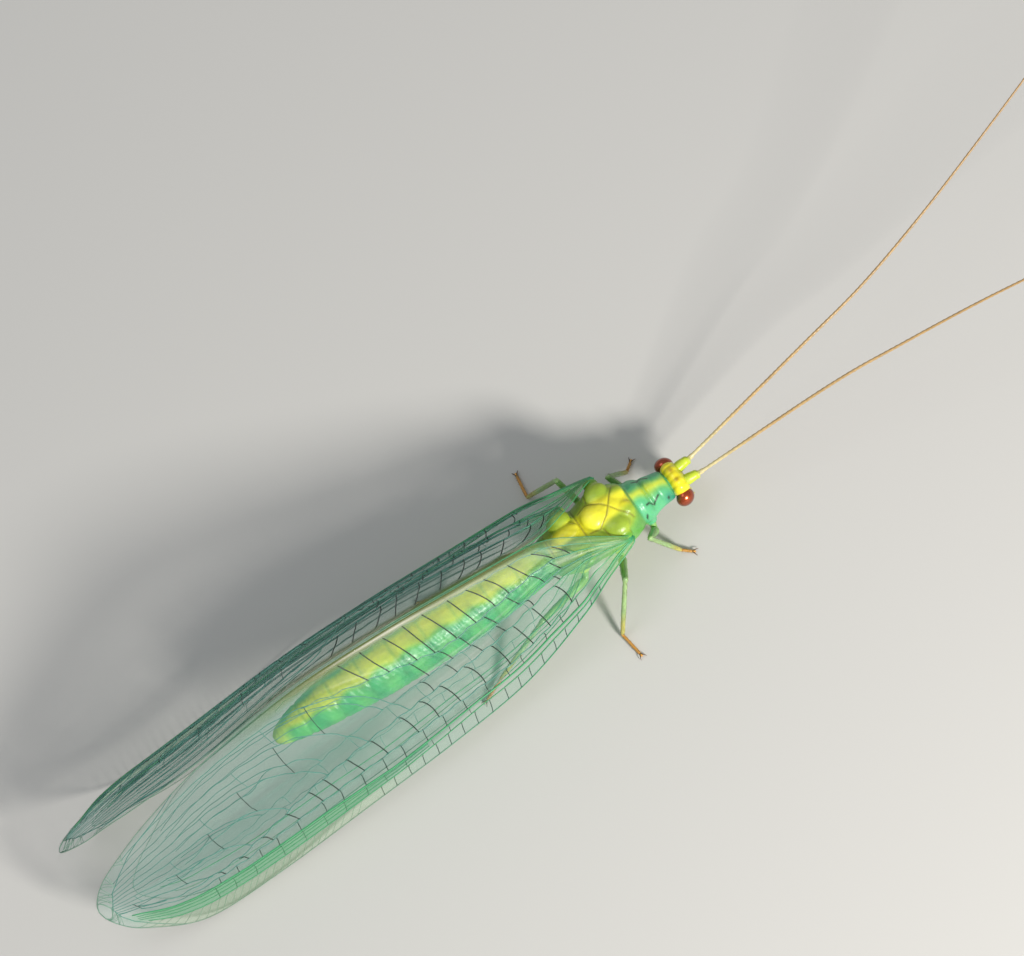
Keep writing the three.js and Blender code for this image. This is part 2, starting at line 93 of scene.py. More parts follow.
def hump(centre: float, width: float, value: Array) -> Array:
    """A bell of height 1 round a centre.

    Args:
        centre: where the bell stands.
        width: its standard width.
        value: the numbers to map.

    Returns:
        The bell's height at each value.
    """
    return np.exp(-(((value - centre) / width) ** 2))


def display_to_light(rgb: Array) -> Array:
    """Display colours, from 0 to 1, as the linear light that shaders take."""
    return np.where(rgb <= 0.04045, rgb / 12.92, ((rgb + 0.055) / 1.055) ** 2.4)


def linear(colour: Colour) -> Colour:
    """One display colour as linear light."""
    return tuple(display_to_light(np.array(colour)).tolist())


def points_at(places: Array, known: Array, points: Array) -> Array:
    """Reads a row of points, also between its members.

    Args:
        places: where to read it.
        known: where its members stand.
        points: the members.

    Returns:
        A point for each place.
    """
    return np.stack([np.interp(places, known, points[:, k]) for k in range(3)], axis=-1)


def walked_along(path: Array) -> Array:
    """How far along a path each of its points lies."""
    return np.r_[0.0, np.cumsum(np.linalg.norm(np.diff(path, axis=0), axis=1))]


def smooth_path(points: Sequence[Point], count: int, beyond: Point | None = None) -> Array:
    """A smooth curve through points, evenly spaced along its length.

    Args:
        points: what the curve passes through.
        count: how many points it gets.
        beyond: a point that the curve heads for at its end.

    Returns:
        An array of count points.
    """
    knots = np.array(points, float)
    last = 2 * knots[-1] - knots[-2] if beyond is None else np.array(beyond, float)
    padded = np.vstack([2 * knots[0] - knots[1], knots, last])
    dense = []
    for i in range(len(knots) - 1):
        a, b, c, d = padded[i:i + 4]
        u = np.linspace(0.0, 1.0, 40, endpoint=i == len(knots) - 2)[:, None]
        dense.append(0.5 * (2 * b + (c - a) * u + (2 * a - 5 * b + 4 * c - d) * u**2
                            + (3 * b - a - 3 * c + d) * u**3))
    curve = np.vstack(dense)
    walked = walked_along(curve)
    return points_at(np.linspace(0.0, walked[-1], count), walked, curve)


def deselect() -> None:
    """Leaves object mode with nothing selected."""
    if bpy.context.object and bpy.context.object.mode != "OBJECT":
        bpy.ops.object.mode_set(mode="OBJECT")
    bpy.ops.object.select_all(action="DESELECT")


def select_only(piece: bpy.types.Object) -> None:
    """Makes one piece the active and only selected one."""
    deselect()
    piece.select_set(True)
    bpy.context.view_layer.objects.active = piece


def apply_modifiers(piece: bpy.types.Object) -> None:
    """Applies all of a piece's modifiers, first to last."""
    select_only(piece)
    for modifier in list(piece.modifiers):
        bpy.ops.object.modifier_apply(modifier=modifier.name)


def join(pieces: Sequence[bpy.types.Object], name: str) -> bpy.types.Object:
    """Joins pieces into one object.

    Args:
        pieces: the objects, of which the first one stays.
        name: the name of the whole.

    Returns:
        The joined object.
    """
    deselect()
    for piece in pieces:
        piece.select_set(True)
    bpy.context.view_layer.objects.active = pieces[0]
    bpy.ops.object.join()
    pieces[0].name = name
    pieces[0].data.name = name
    return pieces[0]


def vertices(piece: bpy.types.Object) -> Array:
    """A piece's vertices as an array of points."""
    points = np.zeros(len(piece.data.vertices) * 3, np.float32)
    piece.data.vertices.foreach_get("co", points)
    return points.reshape(-1, 3).astype(float)


def vertex_normals(piece: bpy.types.Object) -> Array:
    """The outward direction at each of a piece's vertices."""
    normals = np.zeros(len(piece.data.vertices) * 3, np.float32)
    piece.data.vertex_normals.foreach_get("vector", normals)
    return normals.reshape(-1, 3).astype(float)


def set_vertices(piece: bpy.types.Object, points: Array) -> None:
    """Moves a piece's vertices to the points given."""
    piece.data.vertices.foreach_set("co", points.astype(np.float32).ravel())
    piece.data.update()


def paint(piece: bpy.types.Object, colours: Array, alpha: Array | float = 1.0) -> None:
    """Writes a colour at each vertex, which the piece's material reads.

    Args:
        piece: the object to paint.
        colours: a display colour for each vertex.
        alpha: how much of what lies behind the surface it hides.
    """
    rgba = np.ones((len(colours), 4), np.float32)
    rgba[:, :3] = display_to_light(np.clip(colours, 0.0, 1.0))
    rgba[:, 3] = alpha
    layer = piece.data.color_attributes.new(TINT, "FLOAT_COLOR", "POINT")
    layer.data.foreach_set("color", rgba.ravel())


def blend(base: Array, colour: Colour, mask: Array) -> Array:
    """Lays a colour over others where a mask says.

    Args:
        base: the colours so far.
        colour: the display colour to lay on.
        mask: how much of it, from 0 to 1, at each vertex.

    Returns:
        The colours after it.
    """
    share = np.clip(mask, 0.0, 1.0)[:, None]
    return base * (1.0 - share) + np.array(colour) * share


class MeshStock:
    """Gathers many small closed shapes into the arrays of one mesh."""

    def __init__(self) -> None:
        """Starts empty."""
        self.points: list[Array] = []
        self.faces: list[tuple[int, ...]] = []
        self.tints: list[Array] = []
        self.count = 0

    def add_tube(self, path: Array, radii: Array, sides: int, tints: Array) -> None:
        """Adds a closed tube.

        Args:
            path: the points of its middle line.
            radii: its radius at each point.
            sides: the number of its flat sides.
            tints: a display colour for each point, or one for all.
        """
        steps = np.gradient(path, axis=0)
        steps /= np.maximum(np.linalg.norm(steps, axis=1), TINY)[:, None]
        axis = np.eye(3)[np.argmin(np.abs(steps[0]))]
        side = np.zeros_like(path)
        for i, step in enumerate(steps):
            axis = axis - step * axis.dot(step)
            axis = axis / max(np.linalg.norm(axis), TINY)
            side[i] = axis
        up = np.cross(steps, side)
        angles = 2 * math.pi * np.arange(sides) / sides
        ring = (side[:, None] * np.cos(angles)[None, :, None]
                + up[:, None] * np.sin(angles)[None, :, None])
        shell = path[:, None] + ring * np.asarray(radii)[:, None, None]
        start, rows = self.count, len(path)
        self.points.append(shell.reshape(-1, 3))
        shades = np.broadcast_to(np.asarray(tints, float), (rows, 3))
        self.tints.append(np.repeat(shades, sides, axis=0))
        for i in range(rows - 1):
            a = start + i * sides
            for k in range(sides):
                b = (k + 1) % sides
                self.faces.append((a + k, a + b, a + b + sides, a + k + sides))
        self.faces.append(tuple(range(start + sides - 1, start - 1, -1)))
        last = start + (rows - 1) * sides
        self.faces.append(tuple(range(last, last + sides)))
        self.count += rows * sides

    def add_hair(self, root: Array, tip: Array, radius: float, tint: Colour) -> None:
        """Adds a three-sided hair.

        Args:
            root: where it stands.
            tip: where it ends.
            radius: its radius at the root.
            tint: its display colour.
        """
        step = tip - root
        axis = np.eye(3)[int(np.argmin(np.abs(step)))]
        side = np.cross(step, axis)
        side /= max(np.linalg.norm(side), TINY)
        up = np.cross(step, side) / max(np.linalg.norm(step), TINY)
        base = [root + radius * (side * math.cos(a) + up * math.sin(a))
                for a in HAIR_CORNERS]
        s = self.count
        self.points.append(np.array([*base, tip]))
        self.tints.append(np.tile(np.array(tint), (4, 1)))
        self.faces += [(s + 2, s + 1, s), (s, s + 1, s + 3), (s + 1, s + 2, s + 3),
                       (s + 2, s, s + 3)]
        self.count += 4

    def build(self, name: str) -> bpy.types.Object:
        """Makes the object that holds everything added.

        Args:
            name: its name.

        Returns:
            The new object, painted.
        """
        mesh = bpy.data.meshes.new(name)
        mesh.from_pydata(np.vstack(self.points).tolist(), [], self.faces)
        piece = bpy.data.objects.new(name, mesh)
        bpy.context.scene.collection.objects.link(piece)
        paint(piece, np.vstack(self.tints))
        select_only(piece)
        bpy.ops.object.shade_smooth()
        return piece


@dataclass(frozen=True)
class Workbench:
    """Where finished meshes go into the row frame."""

    shift: float

    @staticmethod
    def from_frame() -> "Workbench":
        """Finds how far the insect's frame lies from the row frame, from an eye's solid."""
        low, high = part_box("eye_left")
        return Workbench((low.x + high.x) / 2 / MM - EYE_STATION)

    def to_row(self, point: Point) -> Vector:
        """A point of the insect's frame, in the row frame."""
        return Vector((point[0] + self.shift, point[1], point[2])) * MM

    def place(self, piece: bpy.types.Object, material: bpy.types.Material, slot: str,
              nodes: Sequence[str] = ()) -> bpy.types.Object:
        """Moves a finished piece into the row frame and dresses it.

        Args:
            piece: the object, modelled in millimetres.
            material: its finish.
            slot: the slot that the finish belongs to; not used.
            nodes: the solids that the piece stands for.

        Returns:
            The same object.
        """
        piece.data.transform(piece.matrix_world)
        piece.matrix_world = Matrix.Identity(4)
        piece.data.transform(Matrix.Scale(MM, 4) @ Matrix.Translation((self.shift, 0, 0)))
        piece.data.materials.clear()
        piece.data.materials.append(material)
        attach(piece, "root")
        if nodes:
            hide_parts(*nodes)
        LOG.info("%s: %d vertices", piece.name, len(piece.data.vertices))
        return piece


class Nodes:
    """A short way to write a material's node tree."""

    def __init__(self, name: str) -> None:
        """Starts a material with its Principled shader.

        Args:
            name: the material's name.
        """
        self.material = bpy.data.materials.new(name)
        self.material.use_nodes = True
        self.tree = self.material.node_tree
        self.shader = self.tree.nodes["Principled BSDF"]

    def add(self, kind: str, values: dict[str, object] | None = None,
            **settings: object) -> bpy.types.Node:
        """Adds a node.

        Args:
            kind: the node's type name.
            values: what its input sockets are set to.
            settings: what its own properties are set to.

        Returns:
            The new node.
        """
        node = self.tree.nodes.new(kind)
        for key, value in settings.items():
            setattr(node, key, value)
        for key, value in (values or {}).items():
            node.inputs[key].default_value = value
        return node

    def link(self, source: bpy.types.NodeSocket, target: bpy.types.NodeSocket) -> None:
        """Joins an output to an input."""
        self.tree.links.new(source, target)

    def body_coordinates(self) -> bpy.types.NodeSocket:
        """Object coordinates, in millimetres."""
        place = self.add("ShaderNodeTexCoord")
        scale = self.add("ShaderNodeMapping", {"Scale": (1 / MM,) * 3})
        self.link(place.outputs["Object"], scale.inputs["Vector"])
        return scale.outputs["Vector"]

    def tint(self) -> bpy.types.Node:
        """The node that reads the colour painted on the mesh."""
        return self.add("ShaderNodeAttribute", attribute_name=TINT)

    def dress(self, values: dict[str, object]) -> bpy.types.Material:
        """Sets sockets of the shader itself and hands over the material."""
        for key, value in values.items():
            self.shader.inputs[key].default_value = value
        return self.material


def grain_group() -> bpy.types.NodeTree:
    """The fine unevenness that all the skins share: a mask and a height.

    Returns:
        The node group, made once.
    """
    found = bpy.data.node_groups.get("fine_grain")
    if found:
        return found
    group = bpy.data.node_groups.new("fine_grain", "ShaderNodeTree")
    face = group.interface
    face.new_socket("Vector", in_out="INPUT", socket_type="NodeSocketVector")
    face.new_socket("Size", in_out="INPUT", socket_type="NodeSocketFloat")
    face.new_socket("Blotch", in_out="OUTPUT", socket_type="NodeSocketFloat")
    face.new_socket("Height", in_out="OUTPUT", socket_type="NodeSocketFloat")
    start = group.nodes.new("NodeGroupInput")
    end = group.nodes.new("NodeGroupOutput")
    blotch = group.nodes.new("ShaderNodeTexNoise")
    blotch.inputs["Scale"].default_value = 2.2
    blotch.inputs["Detail"].default_value = 4.0
    pores = group.nodes.new("ShaderNodeTexVoronoi")
    pores.feature = "SMOOTH_F1"
    fine = group.nodes.new("ShaderNodeTexNoise")
    fine.inputs["Detail"].default_value = 3.0
    both = group.nodes.new("ShaderNodeMath")
    both.operation = "ADD"
    links = group.links
    for node in (blotch, pores, fine):
        links.new(start.outputs["Vector"], node.inputs["Vector"])
    links.new(start.outputs["Size"], pores.inputs["Scale"])
    links.new(start.outputs["Size"], fine.inputs["Scale"])
    links.new(pores.outputs["Distance"], both.inputs[0])
    links.new(fine.outputs["Fac"], both.inputs[1])
    links.new(blotch.outputs["Fac"], end.inputs["Blotch"])
    links.new(both.outputs["Value"], end.inputs["Height"])
    return group


@dataclass(frozen=True)
class CuticleFinish:
    """A painted, slightly translucent insect skin."""

    name: str
    grain: float = 9.0
    bump: float = 0.35
    depth: float = 0.02
    rough_low: float = 0.28
    rough_high: float = 0.5
    scatter: float = 0.25
    coat: float = 0.15

    def make(self) -> bpy.types.Material:
        """Builds the material.

        Returns:
            The finish, which reads the mesh's painted colour.
        """
        n = Nodes(self.name)
        where = n.body_coordinates()
        grain = n.add("ShaderNodeGroup", node_tree=grain_group())
        grain.inputs["Size"].default_value = self.grain
        n.link(where, grain.inputs["Vector"])
        tint = n.tint()
        shade = n.add("ShaderNodeMapRange", {"From Min": 0.3, "From Max": 0.7,
                                             "To Min": 0.84, "To Max": 1.1})
        n.link(grain.outputs["Blotch"], shade.inputs["Value"])
        mix = n.add("ShaderNodeMix", data_type="RGBA", blend_type="MULTIPLY")
        mix.inputs["Factor"].default_value = 1.0
        n.link(tint.outputs["Color"], mix.inputs["A"])
        n.link(shade.outputs["Result"], mix.inputs["B"])
        n.link(mix.outputs["Result"], n.shader.inputs["Base Color"])
        rough = n.add("ShaderNodeMapRange", {"To Min": self.rough_low, "To Max": self.rough_high})
        n.link(grain.outputs["Blotch"], rough.inputs["Value"])
        n.link(rough.outputs["Result"], n.shader.inputs["Roughness"])
        bump = n.add("ShaderNodeBump", {"Strength": self.bump, "Distance": self.depth * MM})
        n.link(grain.outputs["Height"], bump.inputs["Height"])
        n.link(bump.outputs["Normal"], n.shader.inputs["Normal"])
        return n.dress({"Subsurface Weight": self.scatter, "Subsurface Radius": (1.0, 0.9, 0.3),
                        "Subsurface Scale": 0.25 * MM, "Coat Weight": self.coat,
                        "Coat Roughness": 0.2})


@dataclass(frozen=True)
class EyeFinish:
    """A coppery compound eye with fine facets, its colour painted darker towards its outline as
    shade.
    """

    name: str = "coppery_eye"
    facets: float = 42.0
    dark: Colour = (0.66, 0.25, 0.1)
    bright: Colour = (0.88, 0.42, 0.22)
    # Painted shade: the colour that the eye takes where its surface turns away from the camera.
    rim: Colour = (0.26, 0.1, 0.03)

    def make(self) -> bpy.types.Material:
        """Builds the material.

        Returns:
            The finish.
        """
        n = Nodes(self.name)
        where = n.body_coordinates()
        cells = n.add("ShaderNodeTexVoronoi", {"Scale": self.facets, "Randomness": 0.25})
        n.link(where, cells.inputs["Vector"])
        ramp = n.add("ShaderNodeValToRGB")
        ramp.color_ramp.elements[0].color = (*linear(self.bright), 1.0)
        ramp.color_ramp.elements[1].color = (*linear(self.dark), 1.0)
        ramp.color_ramp.elements[1].position = 0.75
        n.link(cells.outputs["Distance"], ramp.inputs["Fac"])
        # Painted shade: the colour mixes towards the rim colour as the surface turns away from the
        # camera.
        turned = n.add("ShaderNodeLayerWeight", {"Blend": 0.35})
        mix = n.add("ShaderNodeMix", data_type="RGBA")
        n.link(turned.outputs["Facing"], mix.inputs["Factor"])
        n.link(ramp.outputs["Color"], mix.inputs["A"])
        mix.inputs["B"].default_value = (*linear(self.rim), 1.0)
        n.link(mix.outputs["Result"], n.shader.inputs["Base Color"])
        bump = n.add("ShaderNodeBump", {"Strength": 0.3, "Distance": 0.006 * MM}, invert=True)
        n.link(cells.outputs["Distance"], bump.inputs["Height"])
        n.link(bump.outputs["Normal"], n.shader.inputs["Normal"])
        return n.dress({"Metallic": 0.75, "Roughness": 0.26, "Coat Weight": 0.8,
                        "Coat Roughness": 0.12})


@dataclass(frozen=True)
class MembraneFinish:
    """A clear wing membrane with a faint play of colour."""

    name: str
    film: float = 380.0
    edge: float = 0.16
    gloss: float = 0.3

    def make(self) -> bpy.types.Material:
        """Builds the material.

        Returns:
            The finish, whose colour and cover are painted on the mesh.
        """
        n = Nodes(self.name)
        tint = n.tint()
        n.link(tint.outputs["Color"], n.shader.inputs["Base Color"])
        turned = n.add("ShaderNodeLayerWeight", {"Blend": 0.3})
        edge = n.add("ShaderNodeMath", {1: self.edge}, operation="MULTIPLY")
        n.link(turned.outputs["Facing"], edge.inputs[0])
        both = n.add("ShaderNodeMath", operation="ADD", use_clamp=True)
        n.link(tint.outputs["Alpha"], both.inputs[0])
        n.link(edge.outputs["Value"], both.inputs[1])
        n.link(both.outputs["Value"], n.shader.inputs["Alpha"])
        return n.dress({"Roughness": 0.28, "IOR": 1.5, "Specular IOR Level": self.gloss,
                        "Thin Film Thickness": self.film, "Thin Film IOR": 1.38})


@dataclass(frozen=True)
class FloorFinish:
    """A plain pale floor."""

    name: str = "pale_floor"
    colour: Colour = (0.8, 0.79, 0.77)

    def make(self) -> bpy.types.Material:
        """Builds the material."""
        colour = (*linear(self.colour), 1.0)
        return Nodes(self.name).dress({"Base Color": colour, "Roughness": 0.8})


@dataclass(frozen=True)
class Station:
    """An oval section of the body, square to X."""

    x: float
    top: float
    bottom: float
    half_width: float


def extrude_trunk(name: str, stations: Sequence[Station], sides: int = 28) -> bpy.types.Object:
    """Draws a closed trunk out of a disc, one extrusion for each section.

    Args:
        name: the piece's name.
        stations: its sections, front to rear.
        sides: how many sides the sections have.

    Returns:
        The trunk.
    """
    deselect()
    first = stations[0]
    middle = (first.top + first.bottom) / 2
    bpy.ops.mesh.primitive_circle_add(
        vertices=sides, radius=1.0, fill_type="NGON",
        location=(first.x, 0.0, middle), rotation=(0.0, math.pi / 2, 0.0))
    piece = bpy.context.object
    piece.name = name
    bpy.ops.object.mode_set(mode="EDIT")
    bpy.ops.mesh.select_all(action="SELECT")
    wide, high = first.half_width, (first.top - first.bottom) / 2
    bpy.ops.transform.resize(value=(1.0, wide, high), center_override=(first.x, 0.0, middle))
    for station in stations[1:]:
        centre = (station.top + station.bottom) / 2
        bpy.ops.mesh.extrude_region_move(
            TRANSFORM_OT_translate={"value": (station.x - first.x, 0.0, centre - middle)})
        new_wide, new_high = station.half_width, (station.top - station.bottom) / 2
        bpy.ops.transform.resize(value=(1.0, new_wide / wide, new_high / high),
                                 center_override=(station.x, 0.0, centre))
        first, middle, wide, high = station, centre, new_wide, new_high
    bpy.ops.mesh.select_all(action="SELECT")
    bpy.ops.mesh.normals_make_consistent(inside=False)
    select_only(piece)
    bpy.ops.object.transform_apply(location=True, rotation=True, scale=True)
    return piece


def lobe(name: str, centre: Point, half: Point, turn: float = 0.0) -> bpy.types.Object:
    """Adds a rounded lobe.

    Args:
        name: the piece's name.
        centre: its middle.
        half: its half sizes.
        turn: its turn about Z, in radians.

    Returns:
        The lobe.
    """
    deselect()
    bpy.ops.mesh.primitive_uv_sphere_add(segments=24, ring_count=16, radius=1.0,
                                         location=centre, scale=half)
    piece = bpy.context.object
    piece.name = name
    bpy.ops.object.transform_apply(location=True, rotation=True, scale=True)
    if turn:
        spin = Matrix.Translation(centre) @ Matrix.Rotation(turn, 4, "Z")
        piece.data.transform(spin @ Matrix.Translation([-c for c in centre]))
    return piece


def lobe_pair(name: str, centre: Point, half: Point, turn: float = 0.0) -> list[bpy.types.Object]:
    """A lobe on each side."""
    x, y, z = centre
    return [lobe(f"{name}_{side.word}", (x, side.value * y, z), half, side.value * turn)
            for side in Side]


def draw_limb(name: str, path: Array, radii: Sequence[float], levels: int = 2) -> bpy.types.Object:
    """Draws a round limb: a vertex extruded along a path, then skinned and rounded.

    Args:
        name: the piece's name.
        path: the points of its middle line.
        radii: its radius at each point.
        levels: how finely it is rounded.

    Returns:
        The limb.
    """
    deselect()
    bpy.ops.mesh.primitive_plane_add(size=0.1, location=tuple(path[0]))
    piece = bpy.context.object
    piece.name = name
    bpy.ops.object.transform_apply(location=True, rotation=True, scale=True)
    bpy.ops.object.mode_set(mode="EDIT")
    bpy.ops.mesh.select_all(action="SELECT")
    bpy.ops.mesh.merge(type="CENTER")
    for step in np.diff(path, axis=0):
        bpy.ops.mesh.extrude_region_move(TRANSFORM_OT_translate={"value": tuple(step)})
    bpy.ops.object.mode_set(mode="OBJECT")
    piece.modifiers.new("skin", "SKIN").use_smooth_shade = True
    for vertex, radius in zip(piece.data.skin_vertices[0].data, radii):
        vertex.radius = (radius, radius)
    piece.data.skin_vertices[0].data[0].use_root = True
    rounding = piece.modifiers.new("rounding", "SUBSURF")
    rounding.levels = rounding.render_levels = levels
    apply_modifiers(piece)
    return piece


def tint_along(points: Array, path: Array, tints: Array) -> Array:
    """Colours points after the nearest place on a path.

    Args:
        points: the points to colour.
        path: the path's own points.
        tints: the path's colour at each of them.

    Returns:
        A colour for each point.
    """
    gaps = ((points[:, None] - path[None]) ** 2).sum(axis=2)
    return tints[np.argmin(gaps, axis=1)]


def fuse_skin(pieces: Sequence[bpy.types.Object], name: str, voxel: float,
              rounds: int) -> bpy.types.Object:
    """Grows one even skin over overlapping closed pieces.

    Args:
        pieces: the forms under the skin.
        name: the skin's name.
        voxel: the size of its faces.
        rounds: how often it is smoothed.

    Returns:
        The skin.
    """
    skin = join(pieces, name)
    remesh = skin.modifiers.new("skin", "REMESH")
    remesh.mode = "VOXEL"
    remesh.voxel_size = voxel
    remesh.use_smooth_shade = True
    relax = skin.modifiers.new("relax", "SMOOTH")
    relax.factor = 0.5
    relax.iterations = rounds
    apply_modifiers(skin)
    return skin


@dataclass
class Trunk:
    """Thorax and abdomen, under one skin."""

    voxel: float = 0.032
    relax_rounds: int = 9
    segments: int = 9
    abdomen_front: float = -1.75
    abdomen_tip: float = -11.0
    furrow: float = 0.04
    suture: float = 0.02
    suture_half: float = 0.026
    suture_line: float = 0.019
    mark_line: float = 0.02
    sutures: tuple[tuple[tuple[float, float], ...], ...] = (
        ((0.42, 0.0), (0.6, 0.26), (0.86, 0.56)),
        ((0.42, 0.0), (0.24, 0.2), (-0.12, 0.42), (-0.42, 0.34)),
        ((-0.06, 0.44), (0.0, 0.72), (0.16, 1.0)),
    )
    marks: tuple[tuple[tuple[float, float], ...], ...] = (
        ((1.76, 0.3), (1.64, 0.37), (1.52, 0.43), (1.43, 0.37), (1.33, 0.4)),
        ((1.19, 0.6), (1.14, 0.64)),
        ((1.98, 0.43), (1.95, 0.45)),
    )

    def collar(self) -> list[bpy.types.Object]:
        """The neck and the prothorax with its furrow."""
        rows = [(2.3, 1.5, 1.05, 0.24), (2.17, 1.62, 1.0, 0.34), (2.14, 1.76, 0.96, 0.45),
                (2.02, 1.87, 0.94, 0.48), (1.8, 2.0, 0.92, 0.5), (1.6, 2.08, 0.9, 0.54),
                (1.5, 2.04, 0.88, 0.56), (1.4, 2.14, 0.88, 0.62), (1.24, 2.24, 0.86, 0.68),
                (1.1, 2.22, 0.88, 0.68), (0.95, 2.2, 0.9, 0.6)]
        return [extrude_trunk("collar", [Station(*row) for row in rows])]

    def wing_thorax(self) -> list[bpy.types.Object]:
        """The two winged sections with their lobes and the round shield."""
        rows = [(1.16, 2.16, 0.98, 0.5), (1.04, 2.36, 0.94, 0.66), (0.9, 2.52, 0.9, 0.78),
                (0.66, 2.67, 0.86, 0.88), (0.4, 2.75, 0.84, 0.93), (0.1, 2.77, 0.84, 0.93),
                (-0.2, 2.74, 0.84, 0.9), (-0.46, 2.66, 0.86, 0.84), (-0.56, 2.62, 0.86, 0.82),
                (-0.7, 2.7, 0.86, 0.84), (-1.0, 2.76, 0.88, 0.84), (-1.3, 2.72, 0.94, 0.78),
                (-1.55, 2.62, 1.04, 0.68), (-1.8, 2.56, 1.2, 0.6)]
        pieces = [extrude_trunk("wing_thorax", [Station(*row) for row in rows])]
        pieces += lobe_pair("front_lobe", (0.7, 0.24, 2.4), (0.36, 0.3, 0.26), 0.5)
        pieces += lobe_pair("side_lobe", (0.26, 0.5, 2.46), (0.46, 0.38, 0.25), 0.5)
        pieces.append(lobe("shield", (-0.12, 0.0, 2.66), (0.36, 0.38, 0.2)))
        pieces += lobe_pair("rear_lobe", (-1.0, 0.48, 2.62), (0.38, 0.34, 0.26), 0.2)
        pieces.append(lobe("rear_shield", (-1.05, 0.0, 2.72), (0.5, 0.26, 0.18)))
        pieces += lobe_pair("fore_hinge", (0.34, 0.92, 2.34), (0.24, 0.2, 0.16), -0.3)
        pieces += lobe_pair("hind_hinge", (-0.85, 0.84, 2.28), (0.22, 0.18, 0.15), -0.3)
        pieces += lobe_pair("fore_hip", (1.2, 0.4, 0.9), (0.2, 0.17, 0.26))
        pieces += lobe_pair("mid_hip", (0.0, 0.48, 0.86), (0.24, 0.2, 0.28))
        pieces += lobe_pair("hind_hip", (-1.1, 0.42, 0.92), (0.24, 0.2, 0.28))
        return pieces

    def abdomen(self) -> list[bpy.types.Object]:
        """The long abdomen's form, which carve pinches a little between its segments."""
        knots = np.array([(-1.5, 2.02, 0.5), (-2.1, 2.05, 0.62), (-3.0, 2.1, 0.74),
                          (-4.4, 2.24, 0.88), (-5.84, 2.38, 0.93), (-7.6, 2.52, 0.86),
                          (-9.3, 2.62, 0.67), (-10.3, 2.6, 0.48), (-10.8, 2.55, 0.3),
                          (-11.0, 2.52, 0.14)])
        steps = self.segments * 5
        xs = np.linspace(-1.5, self.abdomen_tip, steps + 1)
        order = slice(None, None, -1)
        z = np.interp(xs, knots[order, 0], knots[order, 1])
        r = np.interp(xs, knots[order, 0], knots[order, 2])
        rows = [Station(x, zc + 1.02 * rc, zc - rc, 0.95 * rc) for x, zc, rc in zip(xs, z, r)]
        return [extrude_trunk("abdomen_form", rows)]

    def joints(self, x: Array) -> Array:
        """How near each x lies to a joint between two abdomen segments, from 0 to 1."""
        length = (self.abdomen_front - self.abdomen_tip) / self.segments
        phase = (self.abdomen_front - x) / length
        near = np.abs(phase - np.round(phase)) * length
        inside = smooth(self.abdomen_front - 0.3, self.abdomen_front - 0.6, x)
        return np.exp(-((near / 0.05) ** 2)) * inside

    @staticmethod
    def near_lines(points: Array, lines: Sequence[Sequence[tuple[float, float]]],
                   width: float) -> Array:
        """How near each point lies to lines over the back, given as (x, |y|), from 0 to 1."""
        flat = np.stack([points[:, 0], np.abs(points[:, 1])], axis=1)
        mask = np.zeros(len(points))
        for line in lines:
            for start, end in zip(line, line[1:]):
                a, run = np.array(start), np.array(end) - np.array(start)
                along = np.clip(((flat - a) @ run) / run.dot(run), 0.0, 1.0)
                gap = np.linalg.norm(flat - a - along[:, None] * run, axis=1)
                mask = np.maximum(mask, np.exp(-((gap / width) ** 2)))
        return mask

    def suture_mask(self, points: Array, width: float) -> Array:
        """How near each point lies to a line between the back's plates, from 0 to 1."""
        mask = self.near_lines(points, self.sutures, width)
        upper = smooth(2.1, 2.4, points[:, 2])
        cross = np.maximum(hump(-0.55, width, points[:, 0]), hump(1.06, width, points[:, 0]))
        cross = np.maximum(cross, hump(-1.62, width, points[:, 0]))
        return np.maximum(mask, cross) * upper

    def carve(self, skin: bpy.types.Object) -> None:
        """Presses the furrows, sutures and segment joints into the skin."""
        points, normals = vertices(skin), vertex_normals(skin)
        x, y, z = points.T
        back = smooth(1.5, 1.9, z)
        push = -self.furrow * hump(1.5, 0.05, x) * back
        push -= 0.5 * self.furrow * hump(1.82, 0.04, x) * back
        push -= self.suture * self.suture_mask(points, self.suture_half)
        push -= 0.018 * self.joints(x)
        on_abdomen = smooth(-1.9, -2.4, x)
        ripple = np.sin(31.0 * x + 3.0 * np.sin(4.0 * z)) * np.sin(11.0 * z + 7.0 * x)
        push += 0.007 * ripple * on_abdomen
        pleat = hump(0.0, 0.06, z - 2.15 + 0.04 * (x + 5.0)) * on_abdomen
        push -= 0.03 * pleat * smooth(0.3, 0.6, np.abs(y))
        set_vertices(skin, points + normals * push[:, None])

    def colours(self, skin: bpy.types.Object) -> Array:
        """The greens and yellows of thorax and abdomen.

        Args:
            skin: the shaped skin.

        Returns:
            A display colour for each vertex.
        """
        points = vertices(skin)
        x, y, z = points.T
        side = np.abs(y)
        c = np.tile(np.array((0.33, 0.66, 0.36)), (len(points), 1))
        c = blend(c, (0.72, 0.82, 0.38), smooth(1.35, 0.9, z))
        collar = smooth(1.02, 1.1, x)
        c = blend(c, (0.36, 0.72, 0.5), collar)
        c = blend(c, (0.2, 0.58, 0.46), collar * hump(0.46, 0.12, side) * smooth(1.7, 2.1, x))
        middle = hump(0.0, 0.17 + 0.04 * np.sin(9 * x), y)
        c = blend(c, (0.84, 0.9, 0.32), collar * middle * smooth(1.6, 1.8, z))
        c = blend(c, (0.3, 0.6, 0.36), collar * hump(1.5, 0.03, x) * smooth(1.6, 1.9, z) * 0.4)
        winged = smooth(1.06, 0.98, x) * smooth(-1.8, -1.6, x)
        olive = winged * smooth(2.0, 2.35, z)
        c = blend(c, (0.6, 0.7, 0.2), olive)
        stripe = 0.26 + 0.07 * np.cos(2.6 * x)
        yellow = winged * smooth(stripe + 0.16, stripe - 0.08, side) * smooth(2.2, 2.5, z)
        c = blend(c, (0.93, 0.9, 0.2), yellow)
        shield = np.exp(-(((x + 0.12) / 0.33) ** 4) - (y / 0.38) ** 4) * smooth(2.5, 2.65, z)
        c = blend(c, (0.96, 0.93, 0.24), shield)
